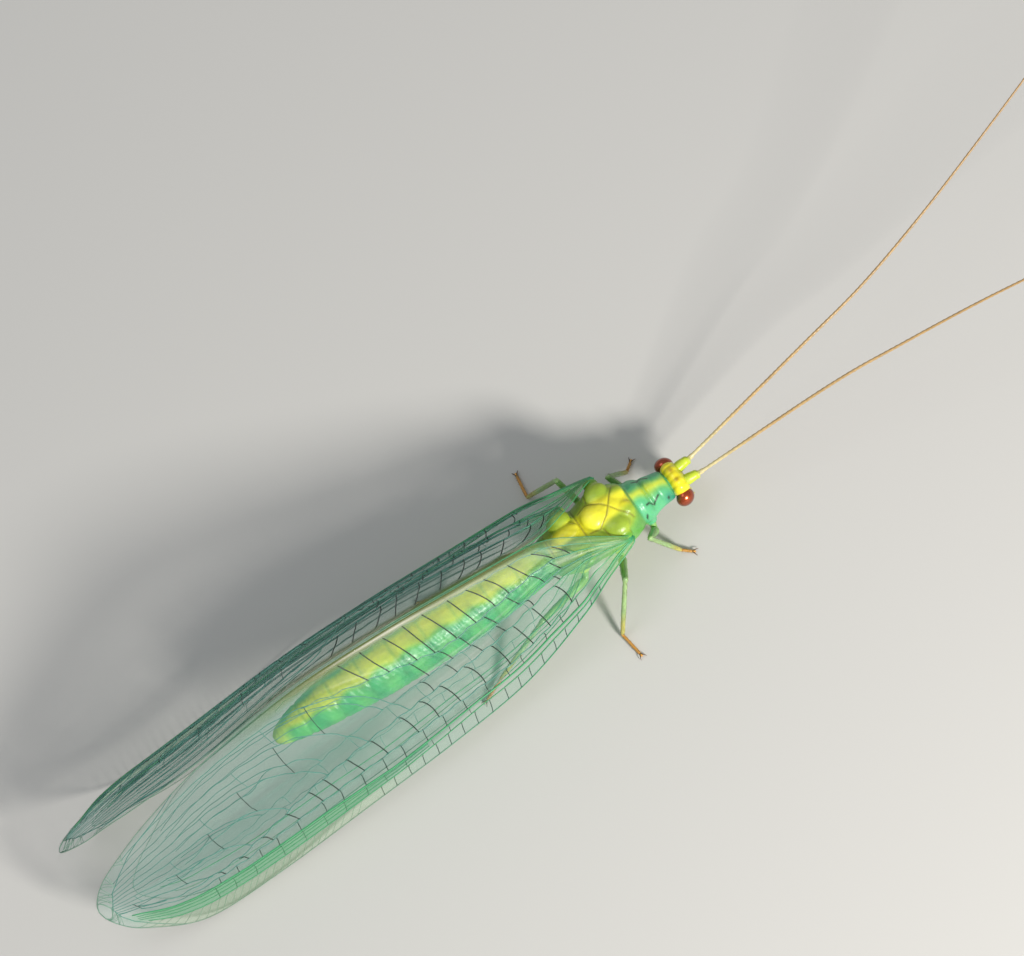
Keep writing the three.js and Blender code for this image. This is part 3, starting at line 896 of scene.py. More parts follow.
        edge = winged * smooth(1.0, 1.4, z) * smooth(2.35, 2.1, z)
        c = blend(c, (0.42, 0.66, 0.26), edge * 0.7)
        c = blend(c, (0.46, 0.42, 0.12), self.suture_mask(points, self.suture_line) * 0.7)
        hinge = winged * smooth(0.84, 1.0, side)
        c = blend(c, (0.4, 0.66, 0.22), hinge)
        rear = smooth(-1.6, -1.95, x)
        flank = np.array((0.27, 0.7, 0.38)) + 0.0 * points
        flank = blend(flank, (0.4, 0.77, 0.38), 0.5 + 0.5 * np.sin(6.8 * x + 1.0))
        c = c * (1.0 - rear[:, None]) + flank * rear[:, None]
        c = blend(c, (0.68, 0.82, 0.4), rear * smooth(2.05, 1.5, z))
        band = (0.34 + 0.05 * np.sin(6.1 * x)) * smooth(-11.6, -9.0, x)
        inside = smooth(band + 0.14, band - 0.12, side)
        c = blend(c, (0.86, 0.9, 0.16), rear * inside * smooth(2.3, 2.8, z))
        crest = rear * 0.7 * hump(0.05, 0.16, y) * hump(-6.0, 3.0, x)
        c = blend(c, (0.95, 0.92, 0.2), crest * smooth(2.5, 3.0, z))
        c = blend(c, (0.76, 0.86, 0.34), smooth(-10.3, -10.8, x))
        c = blend(c, (0.3, 0.58, 0.24), rear * self.joints(x) * 0.22)
        marks = self.near_lines(points, self.marks, self.mark_line)
        return blend(c, (0.1, 0.15, 0.09), 0.9 * marks * collar * smooth(1.3, 1.5, z))

    def build(self, bench: Workbench) -> bpy.types.Object:
        """Models, carves and paints the skin.

        Args:
            bench: places it.

        Returns:
            The skin.
        """
        forms = self.collar() + self.wing_thorax() + self.abdomen()
        skin = fuse_skin(forms, "body_skin", self.voxel, self.relax_rounds)
        self.carve(skin)
        paint(skin, self.colours(skin))
        finish = CuticleFinish("body_cuticle").make()
        return bench.place(skin, finish, "green_cuticle",
                           ["prothorax", "mesothorax", "metathorax", "abdomen"])


@dataclass
class Head:
    """The head capsule with its face, jaws, palps and eyes."""

    x: float = EYE_STATION
    z: float = 1.24
    voxel: float = 0.018
    relax_rounds: int = 12
    groove_half: float = 0.02
    eye_half: Point = (0.285, 0.24, 0.29)
    eye_turn: float = -0.3
    eye_at: Point = (EYE_STATION - 0.06, 0.56, 1.18)

    def capsule(self, bench: Workbench) -> bpy.types.Object:
        """Models and paints the capsule."""
        x, z = self.x, self.z
        forms = [lobe("crown", (x, 0.0, z + 0.06), (0.28, 0.34, 0.43))]
        forms += lobe_pair("crown_side", (x, 0.17, z + 0.06), (0.275, 0.27, 0.42))
        forms += lobe_pair("temple", (x - 0.02, 0.33, z + 0.04), (0.26, 0.22, 0.38))
        forms += lobe_pair("cheek", (x, 0.34, z - 0.16), (0.22, 0.2, 0.32))
        forms += lobe_pair("brow", (x + 0.12, 0.22, z + 0.12), (0.18, 0.19, 0.2))
        forms.append(lobe("face", (x + 0.1, 0.0, z - 0.34), (0.2, 0.31, 0.3)))
        forms.append(lobe("lip", (x + 0.14, 0.0, z - 0.63), (0.14, 0.2, 0.14)))
        forms += lobe_pair("jaw", (x + 0.04, 0.14, z - 0.66), (0.13, 0.12, 0.17), 0.2)
        forms.append(lobe("neck", (x - 0.3, 0.0, z - 0.02), (0.22, 0.27, 0.3)))
        skin = fuse_skin(forms, "head_capsule", self.voxel, self.relax_rounds)
        points, normals = vertices(skin), vertex_normals(skin)
        px, py, pz = points.T
        front = smooth(x, x + 0.15, px)
        groove = hump(z - 0.17, self.groove_half, pz) + hump(z - 0.52, self.groove_half, pz)
        push = -0.02 * front * groove
        set_vertices(skin, points + normals * push[:, None])
        paint(skin, self.colours(vertices(skin)))
        finish = CuticleFinish("head_cuticle", rough_low=0.22, rough_high=0.38).make()
        return bench.place(skin, finish, "face_cuticle", ["head"])

    def colours(self, points: Array) -> Array:
        """Yellow, with small brown marks on the crown and cheeks and a pale rear rim."""
        x, y, z = points.T
        side = np.abs(y)
        c = np.tile(np.array((0.93, 0.87, 0.16)), (len(points), 1))
        c = blend(c, (0.8, 0.86, 0.3), smooth(self.z - 0.1, self.z - 0.6, z))
        upper = smooth(self.z, self.z + 0.2, z)
        front = smooth(self.x + 0.1, self.x + 0.24, x)
        rear = smooth(self.x - 0.19, self.x - 0.25, x)
        c = blend(c, (0.76, 0.82, 0.2), front * upper * 0.6)
        c = blend(c, (0.94, 0.94, 0.72), rear * upper * 0.8)
        crown = smooth(self.z + 0.1, self.z + 0.25, z)
        for spot_x, spot_y, size in ((0.02, 0.16, 0.07), (0.27, 0.0, 0.07)):
            near = np.exp(-((x - self.x - spot_x) ** 2 + (side - spot_y) ** 2) / size**2)
            c = blend(c, (0.6, 0.48, 0.08), near * crown * 0.75)
        cheek = hump(self.z - 0.36, 0.16, z) * hump(0.3, 0.06, side)
        cheek = cheek * smooth(self.x - 0.1, self.x + 0.1, x)
        return blend(c, (0.35, 0.16, 0.06), cheek * 0.75)

    def eye(self, side: Side, bench: Workbench) -> bpy.types.Object:
        """A bulging eye, a little flattened where it meets the head."""
        x, y, z = self.eye_at
        piece = lobe(f"eye_{side.word}_lens", (x, side.value * y, z), self.eye_half,
                     self.eye_turn * side.value)
        rounding = piece.modifiers.new("rounding", "SUBSURF")
        rounding.levels = rounding.render_levels = 2
        apply_modifiers(piece)
        bpy.ops.object.shade_smooth()
        return bench.place(piece, EyeFinish().make(), "compound_eye", [f"eye_{side.word}"])

    def palps(self, bench: Workbench) -> bpy.types.Object:
        """The small jointed palps under the mouth."""
        pieces = []
        for side in Side:
            for reach, rise in ((0.3, 0.0), (0.14, -0.03)):
                aside = side.value * reach
                path = smooth_path([(self.x + 0.02, aside * 0.7, self.z - 0.58),
                                    (self.x + 0.1, aside, self.z - 0.76 + rise),
                                    (self.x + 0.24, aside * 1.05, self.z - 0.9 + rise)], 11)
                radii = [0.05, 0.056, 0.04, 0.055, 0.056, 0.038, 0.05, 0.05, 0.036, 0.04, 0.02]
                pieces.append(draw_limb("palp", path, radii))
        palps = join(pieces, "palps")
        paint(palps, np.tile(np.array((0.78, 0.74, 0.34)), (len(palps.data.vertices), 1)))
        return bench.place(palps, CuticleFinish("palp_cuticle").make(), "face_cuticle")

    def build(self, bench: Workbench) -> None:
        """Makes every piece of the head."""
        self.capsule(bench)
        self.palps(bench)
        for side in Side:
            self.eye(side, bench)


@dataclass
class Antenna:
    """A feeler of one stout joint, a small one and a long ringed lash."""

    path: tuple[Point, ...] = (
        (2.56, 0.2, 1.36), (2.76, 0.235, 1.37), (3.07, 0.26, 1.37), (3.3, 0.29, 1.41),
        (7.44, 0.72, 2.43), (9.8, 1.06, 2.77), (12.3, 1.57, 3.35), (15.0, 2.25, 4.02),
        (17.8, 3.02, 4.72), (20.2, 3.8, 5.22))
    rings: int = 110
    bare: int = 24
    hair_radius: float = 0.003
    hair_tint: Colour = (0.5, 0.4, 0.25)

    def build(self, side: Side, bench: Workbench) -> bpy.types.Object:
        """Models the feeler, ring by ring, with its fine hairs.

        Args:
            side: which side it stands on.
            bench: places it.

        Returns:
            The feeler.
        """
        knots = [(x, side.value * y, z) for x, y, z in self.path]
        path = smooth_path(knots, self.rings * 4)
        x = path[:, 0]
        along = np.linspace(0.0, 1.0, len(path))
        ringed = 1.0 + 0.1 * np.cos(np.arange(len(path)) * math.pi / 2)
        lash = (0.052 - 0.028 * along) * ringed
        base = 0.165 * smooth(2.42, 2.58, x) - 0.035 * smooth(2.7, 3.02, x)
        radii = np.where(x < 3.02, base, np.where(x < 3.22, 0.07, lash))
        tints = np.tile(np.array((0.74, 0.62, 0.42)), (len(path), 1))
        tints = blend(tints, (0.6, 0.45, 0.27), along * 0.8)
        tints = blend(tints, (0.84, 0.8, 0.6), smooth(5.5, 3.2, x) * 0.8)
        tints = blend(tints, (0.76, 0.83, 0.2), smooth(3.1, 3.0, x))
        stock = MeshStock()
        stock.add_tube(path, radii, 10, tints)
        rng = np.random.default_rng(11 + side.value)
        for i in range(self.bare, len(path) - 2, 2):
            step = path[i + 1] - path[i]
            step /= np.linalg.norm(step)
            out = rng.normal(size=3)
            out -= step * out.dot(step)
            out /= np.linalg.norm(out)
            root = path[i] + out * radii[i] * 0.8
            tip = root + 0.02 * out + 0.045 * step
            stock.add_hair(root, tip, self.hair_radius, self.hair_tint)
        return bench.place(stock.build(f"feeler_{side.word}"),
                           CuticleFinish(f"feeler_{side.word}_cuticle", scatter=0.1).make(),
                           "feeler", [f"antenna_{side.word}"])


@dataclass
class Leg:
    """A slender leg: hip, thigh, shin, a foot of five joints and two claws."""

    name: str
    hip: Point
    bend: Point
    knee: Point
    ankle: Point
    toe: Point
    thigh: float = 0.115
    shin: float = 0.078
    foot: float = 0.055
    floor_gap: float = 0.012
    hair_radius: float = 0.0035
    hair_tint: Colour = (0.5, 0.5, 0.32)

    def on(self, point: Point, side: Side) -> Array:
        """A point of the left leg, on the side wanted."""
        return np.array((point[0], side.value * point[1], point[2]))

    def spine(self, side: Side) -> tuple[list[Array], list[float], list[Colour]]:
        """The leg's middle line with a radius and a colour for each point."""
        hip, bend, knee, ankle, toe = (self.on(p, side) for p in
                                       (self.hip, self.bend, self.knee, self.ankle, self.toe))
        green, pale, brown = (0.5, 0.69, 0.38), (0.6, 0.72, 0.48), (0.76, 0.54, 0.24)
        points = [hip, hip * 0.4 + bend * 0.6, bend]
        radii = [0.17, 0.15, 0.11]
        tints = [green, green, green]
        for share, size in ((0.1, 0.8), (0.35, 1.0), (0.6, 1.0), (0.85, 0.85), (0.97, 0.8)):
            points.append(bend + (knee - bend) * share)
            radii.append(self.thigh * size)
            tints.append(green)
        points.append(knee)
        radii.append(self.thigh * 0.82)
        tints.append(pale)
        for share, size in ((0.05, 0.9), (0.3, 0.95), (0.55, 1.0), (0.8, 0.9), (0.96, 0.85)):
            points.append(knee + (ankle - knee) * share)
            radii.append(self.shin * size)
            tints.append(pale if share < 0.8 else (0.7, 0.68, 0.36))
        points.append(ankle)
        radii.append(self.shin * 0.75)
        tints.append(brown)
        for k in range(1, 11):
            points.append(ankle + (toe - ankle) * (k / 10))
            radii.append(self.foot * (0.72 if k % 2 else 1.0))
            tints.append(brown)
        return points, radii, tints

    def build(self, side: Side, bench: Workbench) -> bpy.types.Object:
        """Models the leg with its hairs and claws.

        Args:
            side: which side it stands on.
            bench: places it.

        Returns:
            The leg.
        """
        points, radii, tints = self.spine(side)
        path = np.array(points)
        limb = draw_limb(f"{self.name}_{side.word}_limb", path, radii)
        walked = walked_along(path)
        even = np.linspace(0.0, walked[-1], 120)
        fine = points_at(even, walked, path)
        shade = points_at(even, walked, np.array(tints))
        paint(limb, tint_along(vertices(limb), fine, shade))
        stock = MeshStock()
        self.add_claws(stock, path)
        self.add_hairs(stock, fine, np.interp(even, walked, radii), side)
        limb = join([limb, stock.build("leg_hairs")], f"{self.name}_{side.word}_limb")
        return bench.place(limb, CuticleFinish(f"{self.name}_{side.word}_cuticle").make(),
                           "leg_cuticle", [f"{self.name}_{side.word}"])

    def add_claws(self, stock: MeshStock, path: Array) -> None:
        """Adds two hooked claws and the pad between them."""
        tip, forward = path[-1], path[-1] - path[-4]
        forward[2] = 0.0
        forward /= np.linalg.norm(forward)
        across = np.array((-forward[1], forward[0], 0.0))
        for hand in (-1, 1):
            bow = [tip, tip + 0.07 * forward + 0.05 * hand * across + (0, 0, 0.02),
                   tip + 0.13 * forward + 0.09 * hand * across + (0, 0, -0.01),
                   tip + 0.15 * forward + 0.1 * hand * across + (0, 0, -0.04)]
            claw = smooth_path([tuple(p) for p in bow], 10)
            claw[:, 2] = np.maximum(claw[:, 2], self.floor_gap)
            stock.add_tube(claw, np.linspace(0.024, 0.006, 10), 6, (0.3, 0.18, 0.08))
        pad = np.array([tip, tip + 0.05 * forward, tip + 0.1 * forward])
        stock.add_tube(pad, np.array((0.03, 0.042, 0.02)), 8, (0.86, 0.6, 0.25))

    def add_hairs(self, stock: MeshStock, path: Array, girth: Array, side: Side) -> None:
        """Adds short hairs that lean toward the foot."""
        rng = np.random.default_rng(len(self.name) * 7 + side.value)
        for i in range(12, len(path) - 1):
            step = path[i + 1] - path[i]
            step /= max(np.linalg.norm(step), TINY)
            for _ in range(5):
                out = rng.normal(size=3)
                out -= step * out.dot(step)
                out /= np.linalg.norm(out)
                root = path[i] + out * girth[i] * 0.9 + step * rng.uniform(0.0, 0.04)
                tip = root + out * rng.uniform(0.02, 0.035) + step * rng.uniform(0.04, 0.07)
                tip[2] = max(tip[2], 0.01)
                if root[2] > self.floor_gap:
                    stock.add_hair(root, tip, self.hair_radius, self.hair_tint)


class VeinTone(Enum):
    """The colours that a wing's veins have."""

    GREEN = (0.24, 0.6, 0.38)
    TEAL = (0.3, 0.53, 0.48)
    BAND = (0.16, 0.52, 0.34)
    PALE = (0.46, 0.61, 0.52)
    DARK = (0.09, 0.11, 0.07)


@dataclass
class WingShape:
    """The curved surface of a wing: s runs from root to tip, t from the ridge to the costa."""

    upper: tuple[Point, ...] = (
        (0.5, 1.0, 2.4), (0.3, 0.96, 2.55), (-0.7, 0.46, 3.14), (-1.87, 0.05, 3.72),
        (-4.2, 0.025, 4.36), (-6.8, 0.025, 4.98), (-9.8, 0.025, 5.24), (-13.0, 0.05, 4.5),
        (-15.4, 0.28, 3.68),
        (-16.8, 0.55, 3.02), (-17.5, 0.8, 2.56), (-17.78, 1.1, 2.05))
    lower: tuple[Point, ...] = (
        (0.54, 1.05, 2.34), (0.4, 1.2, 2.25), (-0.7, 1.52, 1.98), (-1.87, 1.84, 1.5),
        (-4.2, 2.2, 0.64), (-6.8, 2.36, 0.4), (-9.8, 2.42, 0.24), (-13.0, 2.45, 0.03),
        (-15.4, 2.38, 0.13), (-16.9, 1.9, 0.92), (-17.52, 1.52, 1.48), (-17.78, 1.1, 2.05))
    bulge: float = 0.45
    samples: int = 600

    def __post_init__(self) -> None:
        """Works out the edges and the outward direction along the wing."""
        top = self.match(self.upper, self.lower[-2])
        low = self.match(self.lower, self.upper[-2])
        middle = (top + low) / 2
        walked = walked_along(middle)
        even = np.linspace(0.0, walked[-1], self.samples)
        self.top, self.low = points_at(even, walked, top), points_at(even, walked, low)
        across = self.low - self.top
        along = np.gradient((self.top + self.low) / 2, axis=0)
        out = np.cross(across, along)
        lengths = np.linalg.norm(out, axis=1)
        out[-6:] = out[-7]
        lengths[-6:] = lengths[-7]
        self.out = out / lengths[:, None]
        if self.out[self.samples // 2, 1] < 0:
            self.out = -self.out
        self.chord = np.linalg.norm(across, axis=1)
        self.middle_x = (self.top[:, 0] + self.low[:, 0]) / 2

    def match(self, knots: Sequence[Point], beyond: Point) -> Array:
        """Draws one edge so that equal knots of the two edges pair off.

        Args:
            knots: what the edge passes through.
            beyond: where it heads at the tip.

        Returns:
            The edge's points.
        """
        dense = smooth_path(knots, 4000, beyond)
        marks = [int(np.argmin(np.linalg.norm(dense - np.array(k), axis=1))) for k in knots]
        share = np.interp(np.linspace(0, len(knots) - 1, self.samples), range(len(knots)), marks)
        return points_at(share, np.arange(len(dense)), dense)

    def station(self, x: Array) -> Array:
        """How far along the wing, from 0 to 1, its middle reaches each x."""
        return np.interp(-np.asarray(x, float), -self.middle_x, np.linspace(0.0, 1.0, self.samples))

    def x_at(self, s: Array) -> Array:
        """The x of the wing's middle at each s."""
        return np.interp(s, np.linspace(0.0, 1.0, self.samples), self.middle_x)

    def width(self, s: Array) -> Array:
        """How wide the wing is at each s."""
        return np.interp(s, np.linspace(0.0, 1.0, self.samples), self.chord)

    def at(self, s: Array, t: Array, depth: Array | float = 0.0) -> Array:
        """Points of the left wing's surface.

        Args:
            s: how far along the wing, from 0 to 1.
            t: how far across it, from 0 at the ridge to 1 at the costa.
            depth: how far below the surface.

        Returns:
            The points.
        """
        s, t = np.broadcast_arrays(np.asarray(s, float), np.asarray(t, float))
        place = np.clip(s, 0.0, 1.0) * (self.samples - 1)
        index = np.arange(self.samples)
        top, low, out = (points_at(place, index, row) for row in (self.top, self.low, self.out))
        chord = np.interp(place, index, self.chord) / self.chord.max()
        arch = (4 * np.clip(t, 0, 1) * (1 - np.clip(t, 0, 1))) ** 0.8 * self.bulge * chord
        ripple = 0.01 * np.sin(38 * t + 3 * s) * np.clip(chord, 0, 1)
        lift = arch + ripple - depth
        return top + (low - top) * t[..., None] + out * np.asarray(lift)[..., None]


@dataclass
class Vein:
    """One vein as a line over the wing."""

    line: Array
    radius: float
    tone: VeinTone
    end_radius: float | None = None
    end_tone: VeinTone | None = None


@dataclass
class Wing:
    """A wing's membrane, veins and fringe."""

    name: str
    shape: WingShape
    span: tuple[float, float] = (0.0, 1.0)
    chord: tuple[float, float] = (0.0, 1.0)
    depth: float = 0.0
    thick: float = 0.014
    cover: float = 0.08
    ridge_height: float = 0.08
    ridge_half: float = 0.02
    rows: int = 150
    columns: int = 90
    bold: bool = True
    tips: int = 14
    tip_t: tuple[float, float] = (0.04, 0.66)
    branch_span: tuple[float, float] = (-7.4, -16.0)
    hairs_per_mm: float = 4.0
    hair_tint: Colour = (0.34, 0.42, 0.34)
    fringe_hairs: int = 420
    fringe_tint: Colour = (0.46, 0.54, 0.44)
    seed: int = 5

    knots_s: tuple[float, ...] = (0.0, 0.06, 0.12, 0.19, 0.34, 0.5, 0.62, 0.77, 0.88, 1.0)
    costal_t: tuple[float, ...] = (0.7, 0.9, 0.9, 0.86, 0.84, 0.88, 0.876, 0.86, 0.82, 0.86)
    radius_t: tuple[float, ...] = (0.6, 0.84, 0.85, 0.81, 0.79, 0.81, 0.78, 0.757, 0.705, 0.7)
    sector_t: tuple[float, ...] = (0.55, 0.66, 0.73, 0.73, 0.7, 0.69, 0.69, 0.695, 0.66, 0.6)
    media_t: tuple[float, ...] = (0.5, 0.42, 0.44, 0.46, 0.49, 0.52, 0.56, 0.645, 0.62, 0.55)
    middle_t: tuple[float, ...] = (0.48, 0.34, 0.35, 0.37, 0.39, 0.4, 0.4, 0.4, 0.4, 0.4)
    cubitus_t: tuple[float, ...] = (0.45, 0.24, 0.21, 0.235, 0.29, 0.15, 0.05, 0.03, 0.02, 0.0)
    anal_t: tuple[float, ...] = (0.4, 0.14, 0.08, 0.05, 0.035, 0.03, 0.03, 0.03, 0.02, 0.0)
    rim_t: tuple[float, ...] = (0.0, 0.04, 0.066, 0.124, 0.22, 0.475, 0.7, 0.82, 0.9, 1.0)
    rim_s: tuple[float, ...] = (0.8, 0.885, 0.915, 0.944, 0.966, 0.98, 0.974, 0.962, 0.944, 0.9)

    def across(self, table: Sequence[float], s: Array) -> Array:
        """Where a long vein runs across the wing, at each s."""
        return np.interp(s, self.knots_s, table)

    def own_s(self, x: Array) -> Array:
        """How far along this wing each x lies, from 0 to 1."""
        return (self.shape.station(x) - self.span[0]) / (self.span[1] - self.span[0])

    def relief(self, s: Array, t: Array) -> Array:
        """How far the surface is raised along the main veins.

        Args:
            s: how far along this wing, from 0 to 1.
            t: how far across it, from 0 to 1.

        Returns:
            The heights.
        """
        s, t = np.broadcast_arrays(np.asarray(s, float), np.asarray(t, float))
        main = (self.costal_t, self.radius_t, self.sector_t, self.media_t, self.middle_t,
                self.cubitus_t)
        crests = [np.exp(-((t - self.across(table, s)) / self.ridge_half) ** 2) for table in main]
        height = self.ridge_height * np.max(crests, axis=0)
        return height * smooth(0.05, 0.13, s) * smooth(0.96, 0.9, s)

    def shape_s(self, s: Array) -> Array:
        """How far along the shape each s of this wing lies."""
        return self.span[0] + (self.span[1] - self.span[0]) * np.asarray(s, float)

    def point(self, s: Array, t: Array, depth: float, side: Side) -> Array:
        """Points of this wing, whose own s and t run from 0 to 1."""
        s = np.asarray(s, float)
        taper = np.clip((s - 0.78) / 0.22, 0.0, 1.0) if self.span[1] < 1.0 else 0.0
        middle = (self.chord[0] + self.chord[1]) / 2
        narrow = np.sqrt(np.clip(1.0 - np.asarray(taper) ** 2, 0.0, 1.0)) * 0.98 + 0.02
        if self.span[0] > 0.0:
            narrow = narrow * (1.0 - 0.92 * np.clip((0.1 - s) / 0.1, 0.0, 1.0) ** 1.5)
        low = middle + (self.chord[0] - middle) * narrow
        high = middle + (self.chord[1] - middle) * narrow
        own_t = low + (high - low) * np.asarray(t, float)
        points = self.shape.at(self.shape_s(s), own_t, self.depth + depth - self.relief(s, t))
        points[..., 1] *= side.value
        return points

    def membrane(self, side: Side, bench: Workbench) -> bpy.types.Object:
        """The clear membrane, closed round its rim.

        Args:
            side: which side it lies on.
            bench: places it.

        Returns:
            The membrane.
        """
        deselect()
        bpy.ops.mesh.primitive_grid_add(x_subdivisions=self.rows, y_subdivisions=self.columns,
                                        size=1.0)
        piece = bpy.context.object
        piece.name = piece.data.name = f"{self.name}_{side.word}_membrane"
        flat = vertices(piece)
        s = (1.0 - (0.5 - flat[:, 0]) ** 1.5) * 0.9998
        t = flat[:, 1] + 0.5
        set_vertices(piece, self.point(s, t, 0.0, side))
        colours, alpha = self.membrane_tint(s, t)
        paint(piece, colours, alpha)
        bpy.ops.object.mode_set(mode="EDIT")
        bpy.ops.mesh.select_all(action="SELECT")
        if side is Side.RIGHT:
            bpy.ops.mesh.flip_normals()
        bpy.ops.object.mode_set(mode="OBJECT")
        shell = piece.modifiers.new("shell", "SOLIDIFY")
        shell.thickness = self.thick
        shell.offset = 0.0
        apply_modifiers(piece)
        bpy.ops.object.shade_smooth()
        return bench.place(piece, MembraneFinish(f"{self.name}_{side.word}_clear").make(),
                           "wing_membrane", [f"{self.name}_{side.word}"])

    def membrane_tint(self, s: Array, t: Array) -> tuple[Array, Array]:
        """Colour and cover of the membrane at points of the wing."""
        c = np.tile(np.array((0.4, 0.65, 0.58)), (len(s), 1))
        radius, costal = self.across(self.radius_t, s), self.across(self.costal_t, s)
        marked = float(self.bold) * smooth(0.36, 0.6, s) * smooth(0.99, 0.93, s)
        band = marked * smooth(radius - 0.03, radius + 0.02, t)
        band = band * smooth(costal + 0.03, costal - 0.02, t)
        strip = marked * smooth(costal - 0.02, costal + 0.03, t)
        ridge = smooth(0.075, 0.02, t) * smooth(0.06, 0.16, s) * smooth(0.74, 0.5, s)
        root = smooth(0.11, 0.02, s)
        c = blend(c, (0.6, 0.7, 0.58), strip)
        c = blend(c, (0.34, 0.66, 0.46), band)
        c = blend(c, (0.46, 0.5, 0.28), ridge)
        c = blend(c, (0.5, 0.7, 0.38), root)
        alpha = self.cover + 0.22 * band + 0.14 * strip + 0.3 * ridge + 0.24 * root
        return c, np.clip(alpha, 0.0, 1.0)

    def long_veins(self) -> list[Vein]:
        """The veins that run along the wing."""
        s = np.linspace(0.0, 0.985, 120)
        fine = 1.0 if self.bold else 0.6
        green, teal = VeinTone.GREEN, VeinTone.TEAL
        tables = [(self.radius_t, 0.031, 0.965, green), (self.costal_t, 0.02, 0.95, green),
                  (self.sector_t, 0.018, 0.95, teal), (self.media_t, 0.019, 0.95, teal)]
        if self.bold:
            tables += [(self.middle_t, 0.015, 0.44, teal), (self.cubitus_t, 0.017, 0.57, teal),
                       (self.anal_t, 0.015, 0.6, VeinTone.PALE)]
        veins = []
        for table, size, stop, tone in tables:
            run = s[s <= stop]
            sway = 0.0 if table in (self.radius_t, self.costal_t) else 0.007
            t = self.across(table, run) + sway * np.sin(self.shape.x_at(run) * 8.3)
            girth = size * fine
            veins.append(Vein(np.stack([run, t], 1), girth, green, girth * 0.6, tone))
        if self.bold:
            run = np.linspace(0.44, 0.955, 60)
            low, high = self.across(self.radius_t, run), self.across(self.costal_t, run)
            for share in (0.28, 0.52, 0.76):
                t = low * (1 - share) + high * share
                veins.append(Vein(np.stack([run, t], 1), 0.012, VeinTone.BAND, 0.009))
            inner_t = np.linspace(0.0, 1.0, 90)
            inner_s = np.interp(inner_t, self.rim_t, self.rim_s)
            veins.append(Vein(np.stack([inner_s, inner_t], 1), 0.012, VeinTone.TEAL))
        rim = 1.0 - np.linspace(1.0, 0.0, 220) ** 1.6
        for t, size in ((0.0, 0.012), (1.0, 0.024)):
            veins.append(Vein(np.stack([rim, np.full_like(rim, t)], 1), size * fine, VeinTone.GREEN,
                              0.013 * fine, VeinTone.PALE))
        return veins

    def branch_veins(self) -> list[Vein]:
        """The branches from the wavy middle vein to the outer margin, with their forks."""
        veins, lines = [], []
        first, last = self.branch_span
        pairs = self.tips // 2
        ends = np.linspace(*self.tip_t, self.tips)
        for k in range(pairs):
            x_start = first + (last - first) * k / (pairs - 1)
            s_start = float(self.own_s(x_start))
            t_start = float(self.across(self.media_t, s_start))
            end, twin = ends[2 * k], ends[2 * k + 1]
            stop = float(np.interp(twin, self.rim_t, self.rim_s)) if self.bold else 0.9
            s = np.linspace(s_start, max(stop, s_start + 0.02), 60)
            run = x_start - self.shape.x_at(self.shape_s(s))
            t = end + (t_start - end) * np.exp(-run / 1.15) + 0.003 * np.sin(7.0 * run)
            main = np.stack([s, t], 1)
            parting = 0.9 + 0.25 * (k % 3)
            split = main[run > parting]
            lines.append(main)
            veins.append(Vein(main, 0.014, VeinTone.TEAL, 0.009))
            if len(split) > 6:
                away = smooth(0.0, 1.1, run[run > parting] - parting)
                veins.append(Vein(split + np.stack([0.0 * away, (twin - end) * away], 1), 0.011,
                                  VeinTone.TEAL, 0.008))
                lines.append(veins[-1].line)
        if not self.bold:
            return veins
        margin = np.array([(u, 0.0) for u in np.linspace(0.6, 1.0, 90)]
                          + [(u, 1.0) for u in np.linspace(1.0, 0.86, 30)])
        outline = self.shape.at(margin[:, 0], margin[:, 1])
        for line in lines:
            gaps = np.linalg.norm(outline - self.shape.at(line[-1, 0], line[-1, 1]), axis=1)
            nearest = int(np.argmin(gaps))
            for aside in (-1, 2):
                tip = margin[min(max(nearest + aside, 0), len(margin) - 1)]
                veins.append(Vein(self.bow(np.array([line[-1], tip]), 0.0), 0.008, VeinTone.PALE))
        for reach, size, tone in ((0.7, 0.012, VeinTone.DARK), (2.0, 0.009, VeinTone.TEAL)):
            mains = lines[::2]
            for a, b in zip(mains, mains[1:]):
                x = self.shape.x_at(self.shape_s(b[:, 0]))
                i = int(np.searchsorted(x[0] - x, reach))
                if i < len(b) - 2:
                    j = int(np.argmin(np.abs(a[:, 0] - b[i, 0] - 0.006)))
                    veins.append(Vein(self.bow(np.array([b[i], a[j]]), 0.01), size, tone))
        return veins

    @staticmethod
    def bow(ends: Array, bend: float, count: int = 8) -> Array:
        """A short line between two points of the wing, bowed to one side."""
        u = np.linspace(0.0, 1.0, count)[:, None]
        run = ends[1] - ends[0]
        normal = np.array((-run[1], run[0]))
        return ends[0] + run * u + normal * bend * 4 * u * (1 - u)

    def ladder(self, low: Sequence[float], high: Sequence[float], span: tuple[float, float, int],
               lean: float, size: float, tone: VeinTone, uneven: float = 0.5) -> list[Vein]:
        """Cross veins between two long ones.

        Args:
            low: the long vein that they start from, as its table of t.
            high: the one that they reach.
            span: the x of the first and of the last one, and their number.
            lean: how much farther along, in millimetres, they end.
            size: their radius.
            tone: their colour.
            uneven: how much their spacing, lean and bow vary.

        Returns:
            The cross veins.
        """
        rng = np.random.default_rng(self.seed + int(100 * abs(span[0])) + span[2])
        veins = []
        for k in range(span[2]):
            step = (span[1] - span[0]) / span[2]
            x = span[0] + step * (k + uneven * rng.uniform(-0.35, 0.35))
            far = x + lean * (1 + uneven * rng.uniform(-0.6, 0.6))
            s = np.clip(self.own_s(np.array((x, far))), 0.0, 0.995)
            ends = np.stack([s, (self.across(low, s[0]), self.across(high, s[1]))], axis=1)
            veins.append(Vein(self.bow(ends, uneven * rng.uniform(-0.03, 0.05)), size, tone))
        return veins

